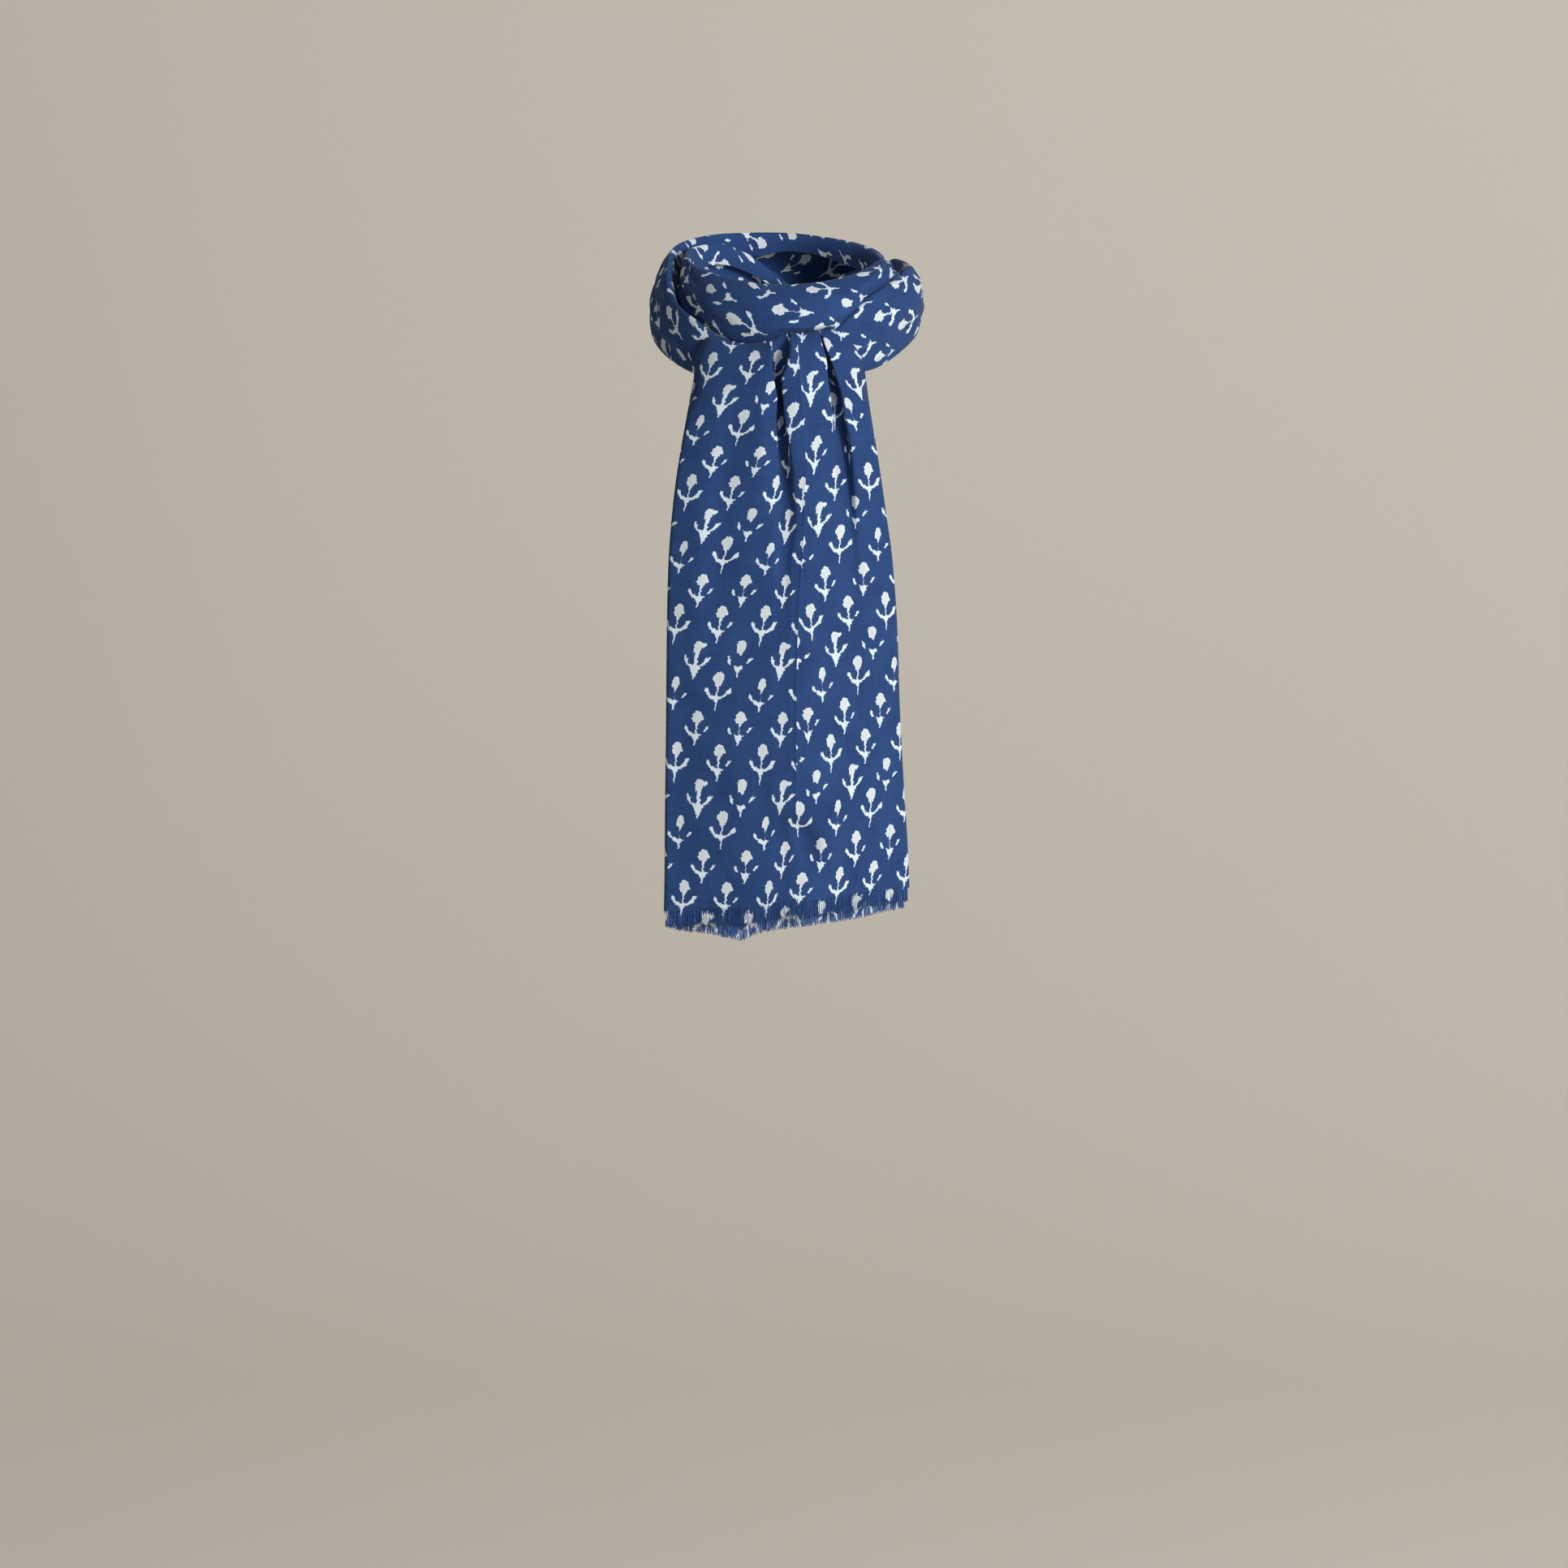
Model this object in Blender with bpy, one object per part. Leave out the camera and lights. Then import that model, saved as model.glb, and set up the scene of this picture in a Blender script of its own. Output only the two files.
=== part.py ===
"""A printed scarf of light cotton, wound twice round a neck with both tails in front.

Units in the tables are millimetres and degrees; the solids are built in metres, +Z up,
with the front towards -Y. The origin is the centre of the neck opening.

Angles run round the neck: 0 is the front, +90 the side at +X, -90 the side at -X.
A turn of cloth is one folded wall. Its section is drawn outwards from the neck's
surface: up the inner return, over the top fold, down the face and round the low fold.
"""

import math
from typing import NamedTuple

import bmesh
import bpy
import numpy as np

MM = 0.001

# Driving sizes
NECK_HALF_WIDTH = 60.0
NECK_HALF_DEPTH = 62.5
WALL = 2.0
SEAM_GAP = 0.3

# Colour of the printed cotton: indigo ground with off-white sprigs, read as one tone
INDIGO = (0.045, 0.095, 0.235, 1.0)


class TurnSection(NamedTuple):
    """One section of a folded turn: distances from the neck's surface, and heights."""

    angle: float
    inner: float
    tuck: float
    crest: float
    top: float
    outer: float
    belly: float
    foot: float
    low: float
    heel: float
    rise: float


# The stretch that crosses the throat; its ends go inside the two side turns.
NECK_TURN = (
    # angle, inner, tuck, crest, top, outer, belly, foot, low, heel, rise
    TurnSection(100, 3.2, 15, 6.5, -1.5, 12.0, -10.0, 10.5, -24.0, 6.5, 4.0),
    TurnSection(90, 3.0, 15, 7.0, -0.5, 13.0, -7.5, 11.5, -19.0, 7.0, 4.0),
    TurnSection(80, 3.0, 15, 8.0, 1.5, 16.5, -5.5, 14.0, -13.5, 8.5, 3.5),
    TurnSection(70, 3.0, 15, 8.5, 3.4, 22.5, -5.0, 19.0, -13.0, 12.5, 3.5),
    TurnSection(58, 3.0, 15, 8.5, 1.5, 26.0, -9.0, 21.5, -18.0, 13.5, 4.5),
    TurnSection(43, 3.0, 16, 8.5, -1.0, 27.5, -14.5, 22.5, -24.8, 13.5, 5.0),
    TurnSection(30, 3.0, 16, 8.5, -3.0, 28.0, -20.0, 22.5, -32.8, 13.0, 6.0),
    TurnSection(15, 3.0, 16, 8.5, -4.5, 28.0, -22.0, 22.0, -32.9, 13.0, 6.0),
    TurnSection(10, 3.0, 16, 8.5, -4.7, 28.0, -22.2, 22.0, -34.0, 13.0, 6.0),
    TurnSection(4, 3.0, 16, 8.5, -5.0, 28.0, -22.5, 22.0, -33.3, 13.0, 6.0),
    TurnSection(-1, 3.0, 16, 8.5, -5.0, 28.0, -23.0, 22.0, -34.2, 13.0, 6.0),
    TurnSection(-10, 3.0, 16, 8.5, -5.0, 28.0, -25.0, 22.0, -40.2, 13.0, 7.0),
    TurnSection(-19, 3.0, 16, 8.5, -4.0, 27.5, -26.0, 22.0, -41.9, 13.0, 7.0),
    TurnSection(-36, 3.0, 16, 8.5, -2.5, 25.0, -25.0, 20.0, -39.4, 12.5, 6.0),
    TurnSection(-46, 3.0, 16, 8.0, -1.0, 22.0, -24.0, 17.5, -39.0, 11.5, 5.0),
    TurnSection(-58, 3.0, 16, 8.0, 0.5, 19.0, -20.0, 15.0, -35.0, 10.0, 5.0),
    TurnSection(-70, 3.0, 15, 7.5, 2.0, 15.5, -14.0, 12.5, -29.0, 8.5, 5.0),
    TurnSection(-82, 3.0, 15, 7.0, 3.5, 11.2, -10.0, 10.0, -27.0, 6.5, 4.0),
    TurnSection(-100, 3.0, 15, 6.0, 4.5, 9.4, -8.0, 8.6, -30.0, 6.0, 4.0),
    TurnSection(-135, 3.0, 14, 6.0, 3.0, 9.4, -11.0, 8.6, -36.0, 6.0, 4.0),
    TurnSection(-155, 3.2, 13, 6.2, -5.0, 10.0, -19.0, 9.0, -40.0, 6.5, 4.0),
    TurnSection(-172, 4.0, 10, 7.0, -19.0, 10.8, -30.0, 10.0, -44.0, 7.2, 3.5),
    TurnSection(-190, 5.5, 4, 7.8, -36.0, 10.8, -41.0, 10.0, -48.0, 8.0, 2.0),
)

# The outer turn at -X: from behind the front tail, round the nape, to the inside at +X.
LEFT_TURN = (
    TurnSection(-13, 20.0, 7, 23.5, -51.0, 28.5, -55.5, 24.0, -62.0, 17.0, 4.0),
    TurnSection(-28, 20.5, 7, 24.0, -50.5, 28.5, -56.0, 24.0, -63.5, 17.0, 4.0),
    TurnSection(-37, 21.5, 9, 25.0, -45.4, 29.0, -54.0, 24.5, -66.0, 17.0, 4.5),
    TurnSection(-43, 22.3, 10, 25.8, -38.9, 29.8, -50.5, 24.8, -66.8, 17.0, 5.0),
    TurnSection(-50, 22.0, 12, 25.8, -32.3, 30.4, -46.5, 24.8, -65.4, 16.5, 6.0),
    TurnSection(-58, 21.4, 14, 25.0, -24.0, 31.0, -42.5, 24.8, -62.8, 16.0, 7.0),
    TurnSection(-66, 19.6, 16, 23.4, -15.0, 31.2, -39.5, 24.5, -60.4, 15.5, 8.0),
    TurnSection(-74, 17.6, 18, 21.2, -5.5, 31.3, -37.0, 24.5, -58.8, 15.0, 9.0),
    TurnSection(-83, 14.8, 20, 18.4, 0.0, 31.2, -35.0, 24.0, -58.0, 15.0, 10.0),
    TurnSection(-95, 13.2, 22, 17.0, 2.5, 31.4, -33.0, 23.5, -56.5, 15.0, 10.0),
    TurnSection(-115, 13.0, 22, 17.0, 6.0, 31.0, -29.0, 23.0, -53.5, 14.5, 10.0),
    TurnSection(-140, 13.0, 22, 16.5, 7.0, 30.5, -26.0, 22.5, -50.0, 14.0, 9.0),
    TurnSection(-165, 13.0, 16, 16.5, 6.0, 30.0, -24.0, 22.5, -47.5, 15.5, 7.0),
    TurnSection(-184, 11.0, 12, 14.5, 5.5, 30.0, -22.0, 23.5, -43.0, 16.5, 6.0),
    TurnSection(-200, 7.0, 12, 11.5, 4.5, 29.0, -18.0, 23.5, -34.5, 15.0, 5.0),
    TurnSection(-215, 4.0, 14, 9.5, 3.5, 27.5, -13.0, 22.5, -25.0, 13.5, 5.0),
    TurnSection(-228, 3.2, 15, 8.5, 2.5, 25.0, -9.0, 21.0, -17.5, 13.0, 4.5),
    TurnSection(-238, 3.0, 15, 8.0, 1.5, 20.5, -6.5, 17.5, -14.0, 11.0, 3.5),
    TurnSection(-248, 3.0, 15, 7.0, 0.0, 14.5, -8.0, 12.5, -17.5, 7.5, 4.0),
    TurnSection(-259.2, 3.2, 15, 6.5, -1.5, 12.0, -10.0, 10.5, -24.0, 6.5, 4.0),
)

# The outer turn at +X: from behind the tails to the nape, where the left turn covers it.
RIGHT_TURN = (
    TurnSection(12, 20.0, 7, 23.5, -51.0, 28.5, -55.5, 24.0, -62.0, 17.0, 4.0),
    TurnSection(21, 19.5, 8, 23.2, -47.0, 28.8, -53.5, 24.0, -63.0, 17.0, 4.0),
    TurnSection(27, 18.5, 10, 22.8, -41.3, 29.0, -50.5, 24.0, -64.0, 16.8, 4.5),
    TurnSection(32, 17.5, 11, 22.2, -35.6, 29.4, -48.0, 24.0, -64.6, 16.5, 5.0),
    TurnSection(43, 17.0, 12, 22.0, -27.8, 30.5, -43.5, 24.5, -63.8, 16.0, 6.0),
    TurnSection(58, 17.0, 13, 22.5, -21.0, 32.0, -36.5, 24.8, -59.4, 16.0, 7.0),
    TurnSection(69, 18.5, 15, 23.2, -16.0, 33.3, -31.0, 25.0, -55.6, 16.0, 8.0),
    TurnSection(77, 20.4, 17, 23.0, -7.0, 34.0, -27.0, 24.8, -53.8, 15.5, 9.0),
    TurnSection(86, 18.5, 18, 24.8, -3.6, 34.2, -24.5, 24.4, -53.2, 15.5, 10.0),
    TurnSection(98, 18.0, 18, 25.0, -5.0, 33.8, -24.0, 24.0, -52.5, 15.0, 10.0),
    TurnSection(107, 19.0, 17, 25.2, -5.5, 33.0, -25.0, 23.5, -52.0, 15.0, 9.0),
    TurnSection(114, 20.8, 15, 25.4, -5.8, 32.4, -26.0, 23.0, -51.5, 15.0, 8.0),
    TurnSection(121, 23.0, 13, 26.4, -7.5, 32.0, -29.0, 23.0, -51.0, 15.0, 7.0),
    TurnSection(127, 23.6, 12, 26.6, -16.0, 31.2, -32.0, 22.8, -50.5, 15.0, 6.5),
    TurnSection(134, 19.5, 11, 23.8, -21.8, 30.0, -33.5, 22.5, -50.0, 15.0, 6.0),
    TurnSection(146, 17.5, 10, 21.5, -28.8, 28.0, -37.0, 21.0, -49.8, 14.5, 5.0),
    TurnSection(160, 17.0, 5, 20.0, -38.0, 24.5, -43.0, 19.5, -50.5, 13.5, 2.5),
    TurnSection(170, 16.8, 3, 18.6, -43.0, 21.5, -46.5, 18.0, -51.0, 13.5, 1.0),
)


class Crease(NamedTuple):
    """A soft ridge or trough that runs along a turn, placed on its section by share."""

    start: float      # angle where it begins
    end: float        # angle where it dies out
    from_share: float
    to_share: float
    proud: float      # height of a ridge, or less than nothing for a trough
    width: float      # half-width as a share of the section


NECK_CREASES = (
    Crease(-62, -14, 0.60, 0.72, -1.0, 0.060),
    Crease(16, 66, 0.66, 0.52, -0.9, 0.060),
    Crease(-48, 34, 0.40, 0.44, 0.6, 0.070),
)
LEFT_CREASES = (
    Crease(-36, -86, 0.80, 0.74, 1.3, 0.045),
    Crease(-40, -98, 0.68, 0.62, -1.5, 0.055),
    Crease(-92, -150, 0.52, 0.66, -1.8, 0.060),
    Crease(-128, -196, 0.50, 0.56, 1.4, 0.060),
    Crease(-140, -206, 0.64, 0.70, -1.8, 0.060),
)
RIGHT_CREASES = (
    Crease(34, 92, 0.72, 0.56, -1.5, 0.060),
    Crease(60, 118, 0.80, 0.72, 1.2, 0.050),
    Crease(98, 148, 0.52, 0.66, -1.7, 0.060),
)


def crease_height(creases, angle, share):
    """How far the creases lift a point of the section off its plain face."""
    height = 0.0
    for crease in creases:
        along = (angle - crease.start) / (crease.end - crease.start)
        if 0.0 < along < 1.0:
            middle = crease.from_share + (crease.to_share - crease.from_share) * along
            reach = (share - middle) / crease.width
            height += crease.proud * math.sin(math.pi * along) * math.exp(-reach * reach)
    return height


def along_turns(rows, column, angle):
    """Value of a named column at an angle, eased between the table's rows."""
    ordered = sorted(rows, key=lambda row: row.angle)
    return ease([row.angle for row in ordered], [getattr(row, column) for row in ordered], angle)


def ease(keys, values, at):
    """Monotone cubic interpolation, so that eased sizes never overshoot the table."""
    keys = np.asarray(keys, float)
    values = np.asarray(values, float)
    if at <= keys[0]:
        return float(values[0])
    if at >= keys[-1]:
        return float(values[-1])
    step = np.diff(keys)
    slope = np.diff(values) / step
    tangent = np.zeros(len(keys))
    tangent[0] = slope[0]
    tangent[-1] = slope[-1]
    for i in range(1, len(keys) - 1):
        if slope[i - 1] * slope[i] > 0:
            before = 2 * step[i] + step[i - 1]
            after = step[i] + 2 * step[i - 1]
            tangent[i] = (before + after) / (before / slope[i - 1] + after / slope[i])
    i = int(np.searchsorted(keys, at) - 1)
    t = (at - keys[i]) / step[i]
    return float(
        values[i] * (2 * t**3 - 3 * t**2 + 1)
        + tangent[i] * step[i] * (t**3 - 2 * t**2 + t)
        + values[i + 1] * (-2 * t**3 + 3 * t**2)
        + tangent[i + 1] * step[i] * (t**3 - t**2)
    )


def smooth_path(points, count):
    """Centripetal Catmull-Rom curve through the points, resampled evenly by length."""
    points = [np.asarray(p, float) for p in points]
    ends = [2 * points[0] - points[1]] + points + [2 * points[-1] - points[-2]]
    dense = []
    for a, b, c, d in zip(ends, ends[1:], ends[2:], ends[3:]):
        t1 = math.sqrt(np.linalg.norm(b - a))
        t2 = t1 + math.sqrt(np.linalg.norm(c - b))
        t3 = t2 + math.sqrt(np.linalg.norm(d - c))
        for t in np.linspace(t1, t2, 12, endpoint=False):
            ab = a + (b - a) * t / t1
            bc = b + (c - b) * (t - t1) / (t2 - t1)
            cd = c + (d - c) * (t - t2) / (t3 - t2)
            abc = ab + (bc - ab) * t / t2
            bcd = bc + (cd - bc) * (t - t1) / (t3 - t1)
            dense.append(abc + (bcd - abc) * (t - t1) / (t2 - t1))
    dense.append(points[-1])
    dense = np.array(dense)
    length = np.concatenate([[0], np.cumsum(np.linalg.norm(np.diff(dense, axis=0), axis=1))])
    at = np.linspace(0, length[-1], count)
    return np.stack([np.interp(at, length, dense[:, k]) for k in range(dense.shape[1])], axis=1)


def round_neck(angle, distance, height):
    """Point at an angle round the neck, at a distance out from its surface."""
    turn = math.radians(angle)
    return (
        (NECK_HALF_WIDTH + distance) * math.sin(turn),
        -(NECK_HALF_DEPTH + distance) * math.cos(turn),
        height,
    )


# How a section rounds between its table's sizes: shares of the way out, down, in and up
SHOULDER_OUT = 0.66
SHOULDER_DOWN = 0.40
UNDER_IN = 0.22
UNDER_UP = 0.36
RETURN_TURN = 0.42
RETURN_LEAN = 0.3     # mm that the inner return's end stands off


def turn_outline(size, count):
    """Section of a turn in (distance, height), from its inner end to its low inner end."""
    shoulder = (size["crest"] + SHOULDER_OUT * (size["outer"] - size["crest"]),
                size["top"] + SHOULDER_DOWN * (size["belly"] - size["top"]))
    under = (size["outer"] - UNDER_IN * (size["outer"] - size["foot"]),
             size["low"] + UNDER_UP * (size["belly"] - size["low"]))
    return smooth_path(
        [
            (size["inner"] + RETURN_LEAN, size["top"] - size["tuck"]),
            (size["inner"], size["top"] - RETURN_TURN * size["tuck"]),
            (size["crest"], size["top"]),
            shoulder,
            (size["outer"], size["belly"]),
            under,
            (size["foot"], size["low"]),
            (size["heel"], size["low"] + size["rise"]),
        ],
        count,
    )


def turn_grid(rows, creases, section_step, count):
    """Grid of points of a turn: one section every few degrees, from the first row on."""
    first, last = rows[0].angle, rows[-1].angle
    sections = max(2, round(abs(last - first) / section_step))
    grid = []
    for angle in np.linspace(first, last, sections + 1):
        size = {name: along_turns(rows, name, angle) for name in TurnSection._fields[1:]}
        outline = turn_outline(size, count)
        grid.append([round_neck(angle, d + crease_height(creases, angle, i / (count - 1)), z)
                     for i, (d, z) in enumerate(outline)])
    return grid


def cloth_colour(name):
    """Material of one stretch of cloth: matt printed cotton."""
    material = bpy.data.materials.new(name)
    material.use_nodes = True
    shader = material.node_tree.nodes["Principled BSDF"]
    shader.inputs["Base Color"].default_value = INDIGO
    shader.inputs["Roughness"].default_value = 0.85
    shader.inputs["Metallic"].default_value = 0.0
    return material


def add_object(name, mesh):
    """Link a mesh as a named object with its own material, shaded smooth."""
    thing = bpy.data.objects.new(name, mesh)
    bpy.context.scene.collection.objects.link(thing)
    mesh.materials.append(cloth_colour(name))
    mesh.shade_smooth()
    mesh.set_sharp_from_angle(angle=math.radians(50))
    return thing


def cloth_wall(name, grid, thickness=WALL):
    """Closed wall of cloth on both sides of a grid of points given in millimetres."""
    shape = bmesh.new()
    rows = [[shape.verts.new([c * MM for c in point]) for point in line] for line in grid]
    for upper, lower in zip(rows, rows[1:]):
        for a, b, c, d in zip(upper, upper[1:], lower[1:], lower):
            shape.faces.new((a, b, c, d))
    bmesh.ops.recalc_face_normals(shape, faces=shape.faces[:])
    mesh = bpy.data.meshes.new(name)
    shape.to_mesh(mesh)
    shape.free()
    wall = add_object(name, mesh)
    solidify = wall.modifiers.new("wall", "SOLIDIFY")
    solidify.thickness = thickness * MM
    solidify.offset = 0.0
    solidify.use_quality_normals = True
    return wall


class TailRow(NamedTuple):
    """One level of the front tail, from its hidden inner end over the crest to the hem."""

    ahead: float      # distance in front of the neck's centre
    height: float
    left: float       # edge at -X
    right: float      # edge at +X
    bow: float        # how far the edges fall back from the middle
    follow: float     # share of the crest's uneven line that this level follows
    edge_turn: float  # how far the side edges are turned under, in degrees
    deep_left: float
    wide_left: float
    at_left: float
    deep_right: float
    wide_right: float
    at_right: float
    tuck: float       # line of the narrow pressed tuck
    swing: float      # how far the cloth beyond the tuck turns back, in degrees


FRONT_TAIL = (
    # ahead, height, left, right, bow, follow, turn, left pleat: deep wide at, right, tuck, swing
    TailRow(77.0, -33.6, -45, 36.5, 13, 1.0, 0, 0.0, 4.4, -3.2, 0.5, 2.6, 18.5, 8.0, 0),
    TailRow(80.5, -35.3, -48, 37.5, 14, 1.0, 0, 0.3, 4.4, -3.2, 1.0, 2.6, 18.6, 8.1, 0),
    TailRow(87.0, -35.9, -51, 39.0, 16, 1.0, 0, 0.6, 4.4, -3.2, 2.0, 2.9, 19.2, 8.3, 0),
    TailRow(94.0, -37.0, -54, 41.0, 18, 1.0, 0, 2.0, 4.6, -3.2, 3.4, 3.1, 20.8, 8.6, 0),
    TailRow(98.5, -41.0, -56.5, 44.5, 19, 0.9, 0, 5.0, 4.8, -3.2, 5.8, 3.3, 23.2, 9.1, 0),
    TailRow(101.0, -46.5, -58.5, 49, 19.5, 0.7, 0, 8.0, 5.0, -3.1, 7.6, 3.2, 25.8, 9.6, 0),
    TailRow(103.0, -54.0, -59.4, 52.4, 19.5, 0.45, 0, 8.5, 4.8, -2.9, 8.2, 3.1, 27.8, 10.2, 2),
    TailRow(105.5, -63.0, -59.9, 54.0, 18.0, 0.2, 10, 8.5, 4.0, -2.6, 8.5, 3.0, 29.8, 11.0, 4),
    TailRow(108.5, -74.0, -61.6, 55.3, 15.5, 0.0, 50, 8.5, 2.9, -1.9, 8.5, 3.3, 32.4, 12.0, 7),
    TailRow(112.0, -88.0, -64.2, 57.4, 13.0, 0.0, 100, 8.0, 2.9, -0.9, 8.0, 3.8, 34.4, 13.0, 10),
    TailRow(116.5, -107.0, -67.8, 60.6, 11.0, 0.0, 140, 6.5, 3.6, 0.2, 6.5, 4.4, 37.0, 14.0, 14),
    TailRow(121.5, -130.0, -71.6, 64.3, 9.5, 0.0, 165, 3.8, 5.0, 0.9, 4.2, 5.4, 39.2, 14.6, 18),
    TailRow(126.0, -156.0, -74.6, 68.1, 8.5, 0.0, 172, 1.6, 6.5, 1.4, 2.0, 6.5, 40.8, 15.0, 21),
    TailRow(129.0, -187.0, -76.8, 72.3, 7.5, 0.0, 172, 0.6, 7.5, 2.0, 0.8, 7.5, 42.2, 15.4, 23),
    TailRow(131.0, -235.0, -78.0, 75.9, 7.0, 0.0, 172, 0.4, 8.0, 2.0, 0.4, 8.0, 43.4, 15.8, 27),
    TailRow(131.5, -296.0, -78.8, 78.2, 6.5, 0.0, 172, 0.4, 8.0, 2.0, 0.4, 8.0, 44.0, 16.0, 31),
    TailRow(130.0, -355.0, -79.8, 81.6, 6.0, 0.0, 172, 0.8, 8.5, 1.0, 0.4, 8.0, 45.0, 16.0, 32),
    TailRow(128.0, -400.0, -80.4, 84.4, 6.0, 0.0, 172, 1.6, 8.5, 0.0, 0.6, 8.0, 46.0, 16.0, 32),
    TailRow(127.0, -424.0, -81.0, 85.4, 6.0, 0.0, 172, 1.2, 8.5, 0.0, 0.8, 8.0, 46.0, 16.0, 32),
)

# Uneven line of the crest where it meets the throat turn: position across, rise above -35
CREST_LINE = (
    (-60, -8.0), (-49, -5.8), (-40, -7.1), (-31, -8.3), (-24, -8.8), (-14.5, -7.2),
    (-8, -4.4), (-1.6, -1.2), (5, -0.2), (15, -1.0), (21, 0.2), (40, 0.0), (47, -1.6),
)

# Where the front tail's cloth ends above its fringe: position across, change from the last row
FRONT_HEM = ((-81, -2.5), (-66, -1.0), (-52, 1.0), (-16, 3.0), (-2, 6.5), (24, 7.2), (47, 6.0),
             (66, 5.4), (86, 3.7))
BACK_HEM = ((-81, -4.0), (-65, -6.5), (-50, -7.5), (-28, -11.5), (-19, -7.0), (-3, -4.0),
            (20, -1.6), (40, -2.4), (53, -2.5), (66, -1.6), (86, -2.3))


class BackRow(NamedTuple):
    """One level of the back tail, from its hidden top inside the turns to the hem."""

    ahead: float
    height: float
    left: float
    right: float
    bow: float
    edge_turn: float
    swing: float


BACK_TAIL = (
    BackRow(73.5, -46.0, -21, 21, 3.0, 0, 0),
    BackRow(74.0, -56.0, -23, 23, 3.2, 0, 0),
    BackRow(77.5, -66.5, -27, 27, 4.0, 0, 0),
    BackRow(87.5, -75.0, -33, 33, 5.0, 0, 2),
    BackRow(96.0, -87.0, -42, 40, 7.0, 0, 7),
    BackRow(104.5, -107.0, -55, 51, 8.5, 50, 13),
    BackRow(112.0, -130.0, -64, 59, 9.0, 110, 18),
    BackRow(118.0, -156.0, -69, 64, 8.3, 150, 21),
    BackRow(121.3, -187.0, -72, 68, 7.5, 172, 23),
    BackRow(123.3, -235.0, -75, 73, 7.0, 172, 27),
    BackRow(123.8, -296.0, -76.5, 76.5, 6.5, 172, 31),
    BackRow(122.3, -355.0, -77.5, 79.5, 6.0, 172, 32),
    BackRow(120.3, -400.0, -78.5, 82.0, 6.0, 172, 32),
    BackRow(119.3, -424.0, -79, 83.0, 6.0, 172, 32),
)

EDGE_ARC = 6.5        # length of cloth that curls round at a side edge
EDGE_FLAP = 5.0       # flat cloth beyond that curl, behind the tail
BOW_POWER = 2.2       # the edges fall back more sharply than a circle's
BACK_SWING_LINE = 15.0    # where the back tail's cloth turns back
SWING_SOFT = 5.0      # width of that bend
HEM_START = -300.0    # height below which a level follows its hem's uneven line
HEM_REACH = 124.0     # drop from there to the table's last row


def swung_back(x, line, degrees):
    """How far back a point lies where the cloth beyond a line turns away."""
    over = x - line
    return math.tan(math.radians(degrees)) * 0.5 * (over + math.hypot(over, SWING_SOFT))


def turned_edge(degrees, arc=EDGE_ARC, flap=EDGE_FLAP, steps=4):
    """Points (outwards, backwards) of an edge turned under by an angle, ending in a flap."""
    across, back = 0.0, 0.0
    points = [(across, back)]
    for step in range(steps):
        heading = math.radians(degrees) * (step + 0.5) / steps
        across += arc / steps * math.cos(heading)
        back += arc / steps * math.sin(heading)
        points.append((across, back))
    heading = math.radians(degrees)
    points.append((across + flap * math.cos(heading), back + flap * math.sin(heading)))
    return points


def level(rows, fields, share):
    """Sizes eased between the table's rows, at a share of the way down the path."""
    keys = [0.0]
    for upper, lower in zip(rows, rows[1:]):
        keys.append(keys[-1] + math.hypot(lower.ahead - upper.ahead, lower.height - upper.height))
    return {name: ease(keys, [getattr(row, name) for row in rows], share * keys[-1])
            for name in fields}


def path_shares(rows, steps):
    """Shares of the way down the path, with a number of steps between each pair of rows."""
    keys = [0.0]
    for upper, lower in zip(rows, rows[1:]):
        keys.append(keys[-1] + math.hypot(lower.ahead - upper.ahead, lower.height - upper.height))
    shares = [0.0]
    for i, count in enumerate(steps):
        for k in range(1, count + 1):
            shares.append((keys[i] + (keys[i + 1] - keys[i]) * k / count) / keys[-1])
    return shares


# Section of a pleat: position across in half-widths of the trough, and share of its depth
PLEAT = ((-1.5, 0.0), (-1.15, 0.06), (-0.85, 0.5), (-0.55, 0.95), (0.0, 1.0),
         (0.55, 0.95), (0.85, 0.5), (1.15, 0.06), (1.5, 0.0))
TUCK_HALF = 1.6
TUCK_PROUD = 0.5


def across_front(size):
    """Positions across the front tail and how far each lies behind its face."""
    points = []
    left_pleat = [(size["at_left"] + k * size["wide_left"], share * size["deep_left"])
                  for k, share in PLEAT]
    right_pleat = [(size["at_right"] + k * size["wide_right"], share * size["deep_right"])
                   for k, share in PLEAT]
    tuck = [(size["tuck"] - TUCK_HALF, 0.0), (size["tuck"], -TUCK_PROUD),
            (size["tuck"] + TUCK_HALF, 0.0)]
    turn = turned_edge(size["edge_turn"])
    reach = max(out for out, _ in turn)
    left_start = size["left"] + reach
    right_start = size["right"] - reach
    for out, back in reversed(turn):
        points.append((left_start - out, back))
    points += spread(left_start, left_pleat[0][0], 5)
    points += left_pleat
    points += tuck
    points += spread(tuck[-1][0], right_pleat[0][0], 1)
    points += right_pleat
    points += spread(right_pleat[-1][0], right_start, 3)
    for out, back in turn:
        points.append((right_start + out, back))
    return points


def spread(start, end, count):
    """Evenly spaced points on the face between two positions, without the ends."""
    return [(start + (end - start) * k / (count + 1), 0.0) for k in range(1, count + 1)]


def from_list(pairs, at):
    """Eased value of a short list of (position, value) pairs."""
    return ease([p for p, _ in pairs], [v for _, v in pairs], at)


def hem_share(height):
    """Share of the hem's uneven line that a level follows, from none at HEM_START to all."""
    return max(0.0, (HEM_START - height) / HEM_REACH) ** 2


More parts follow.
